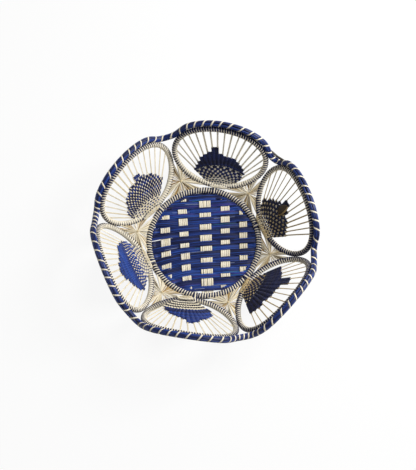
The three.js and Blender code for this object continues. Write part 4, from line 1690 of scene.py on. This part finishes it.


# Each fan's spoke and weft tints carry painted light and shade: the wefts are painted darker on petals 1, 5
# and 6, which face away from the key lamp, and lightest on petal 3, which faces it; the spokes are painted
# brown as shade on petals 5 and 6, and painted paler on petal 1 against its shade.
PETAL_PLANS = (
    PetalPlan(
        bound=47.5, slant=82.96, slopes=(43.0, 57.0), fan=(-5.0, 2.0, 53.0),
        natural_at=((0, 0.5), (60, 0.34), (120, 0.34), (180, 0.6), (230, 0.72), (310, 0.72)),
        weave=FanPlan(
            edge=(
                (-53, 36), (-50, 37), (-32, 45), (-18, 47.5), (3, 50), (6.9, 53), (8, 60.5), (12, 61),
                (14, 53), (28, 51), (49, 40), (53, 39),
            ),
            zones=((16.0, Zone.DOTS), (32.0, Zone.CHECKS), (FAR, Zone.SOLID)),
            foot=(7.0, -7.0), pairs=17, spoke_width=2.2, spoke_tint=1.0, weft_tints=(0.0, 0.3),
        ),
    ),
    PetalPlan(
        bound=110.5, slant=82.03, slopes=(29.5, 67.0), fan=(9.5, -4.5, 52.0),
        natural_at=((0, 0.78), (60, 0.55), (120, 0.55), (180, 0.88), (230, 0.88), (310, 0.84)),
        weave=FanPlan(
            edge=(
                (-53, 45), (-34, 50), (-24, 53.5), (-14, 55), (-12, 60), (-7, 60), (-5, 54), (0, 53),
                (6, 50), (13, 47.5), (43, 35), (53, 29),
            ),
            zones=((20.0, Zone.DOTS), (55.0, Zone.CHECKS), (FAR, Zone.SOLID)),
            foot=(12.0, -6.0), pairs=17, spoke_width=1.9, spoke_tint=0.8, weft_tints=(0.15, 0.5), split=22.0,
        ),
    ),
    PetalPlan(
        bound=172.0, slant=85.34, slopes=(28.5, 76.0), fan=(-5.5, 8.0, 46.0),
        natural_at=((0, 0.8), (60, 0.72), (120, 0.66), (180, 0.74), (230, 0.74), (310, 0.74)),
        weave=FanPlan(
            edge=((-47, 38), (-34, 45.5), (-7, 56), (8, 64), (15, 58.5), (49, 44)),
            zones=((22.0, Zone.DOTS), (36.0, Zone.CHECKS), (FAR, Zone.SOLID)),
            foot=(9.0, -11.0), pairs=16, spoke_width=2.0, spoke_tint=0.8, weft_tints=(0.3, 0.78), split=24.0,
        ),
    ),
    PetalPlan(
        bound=232.0, slant=86.02, slopes=(26.0, 71.0), fan=(-12.5, 6.0, 52.0),
        natural_at=((0, 0.4), (60, 0.6), (120, 0.6), (180, 0.6), (230, 0.4), (300, 0.42), (330, 0.5)),
        weave=FanPlan(
            edge=(
                (-52, 30), (-46, 32), (-17, 44.5), (-4, 50), (4, 54), (7, 59), (12, 58), (23, 51), (40, 49),
                (47, 41), (52, 38),
            ),
            zones=((29.0, Zone.ARCS), (FAR, Zone.SOLID)),
            foot=(4.0, -4.0), pairs=16, spoke_width=1.9, spoke_tint=0.7, weft_tints=(0.15, 0.7),
        ),
    ),
    PetalPlan(
        bound=290.5, slant=87.38, slopes=(21.5, 70.5), fan=(-18.0, 18.0, 43.5),
        natural_at=((0, 0.2), (40, 0.15), (70, 0.38), (130, 0.4), (180, 0.46), (230, 0.28), (310, 0.26)),
        weave=FanPlan(
            edge=(
                (-43, 44), (-41, 45), (-31, 49), (-18.5, 47.5), (-14, 52), (5, 58.5), (8, 60), (9, 69),
                (14, 69), (16, 57), (20, 56), (39.5, 57), (43, 57),
            ),
            zones=((9.0, Zone.DOTS), (26.0, Zone.CHECKS), (FAR, Zone.SOLID)),
            foot=(14.0, 0.0), pairs=14, spoke_width=1.4, spoke_tint=0.35, weft_tints=(0.0, 0.15),
        ),
    ),
    PetalPlan(
        bound=348.0, slant=81.18, slopes=(24.0, 68.5), fan=(-19.5, 21.0, 41.0),
        natural_at=((0, 0.5), (30, 0.68), (90, 0.72), (130, 0.46), (180, 0.2), (230, 0.16), (310, 0.28)),
        weave=FanPlan(
            edge=(
                (-42, 30), (-17, 39.5), (-6, 47.5), (-3, 52), (0.3, 56), (4, 53), (5.6, 49), (21.7, 46),
                (34, 46.5), (46, 45),
            ),
            zones=((13.0, Zone.DOTS), (43.0, Zone.CHECKS), (FAR, Zone.SOLID)),
            foot=(27.0, 1.0), pairs=14, spoke_width=1.7, spoke_tint=0.52, weft_tints=(0.0, 0.15), flap=-5.0,
        ),
    ),
)


def dress_wires() -> None:
    """Gives the wire of the frame, which stays as packed, its drawn metal."""
    for name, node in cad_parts.items():
        if name.endswith("_wire"):
            node.data.materials.clear()
            node.data.materials.append(IRON_WIRE.material())
            LOG.info("%s: dressed", name)


def main() -> None:
    """Builds the basket piece by piece in a plain studio."""
    logging.basicConfig(level=logging.INFO, format="%(name)s %(message)s")
    dice = random.Random(SEED)
    ring = RingShape()
    Studio(ring).build()
    bounds = [plan.bound for plan in PETAL_PLANS] + [PETAL_PLANS[0].bound + 360.0]
    petals = [
        PetalShape(k + 1, bounds[k], bounds[k + 1], plan.slant, *plan.slopes, *plan.fan, ring)
        for k, plan in enumerate(PETAL_PLANS)
    ]
    BaseRing(ring).build()
    WovenMat(ring, dice).build()
    for k, (petal, plan) in enumerate(zip(petals, PETAL_PLANS)):
        PetalHoop(petal, plan.natural_at).build()
        PetalFan(petal, dice, plan.weave).build()
        PetalTie(petal, dice).build()
        PalmStar(k + 1, plan.bound, ring, petals[k - 1], petal, dice).build()
    Rim(petals, dice).build()
    dress_wires()


if __name__ == "__main__":
    main()
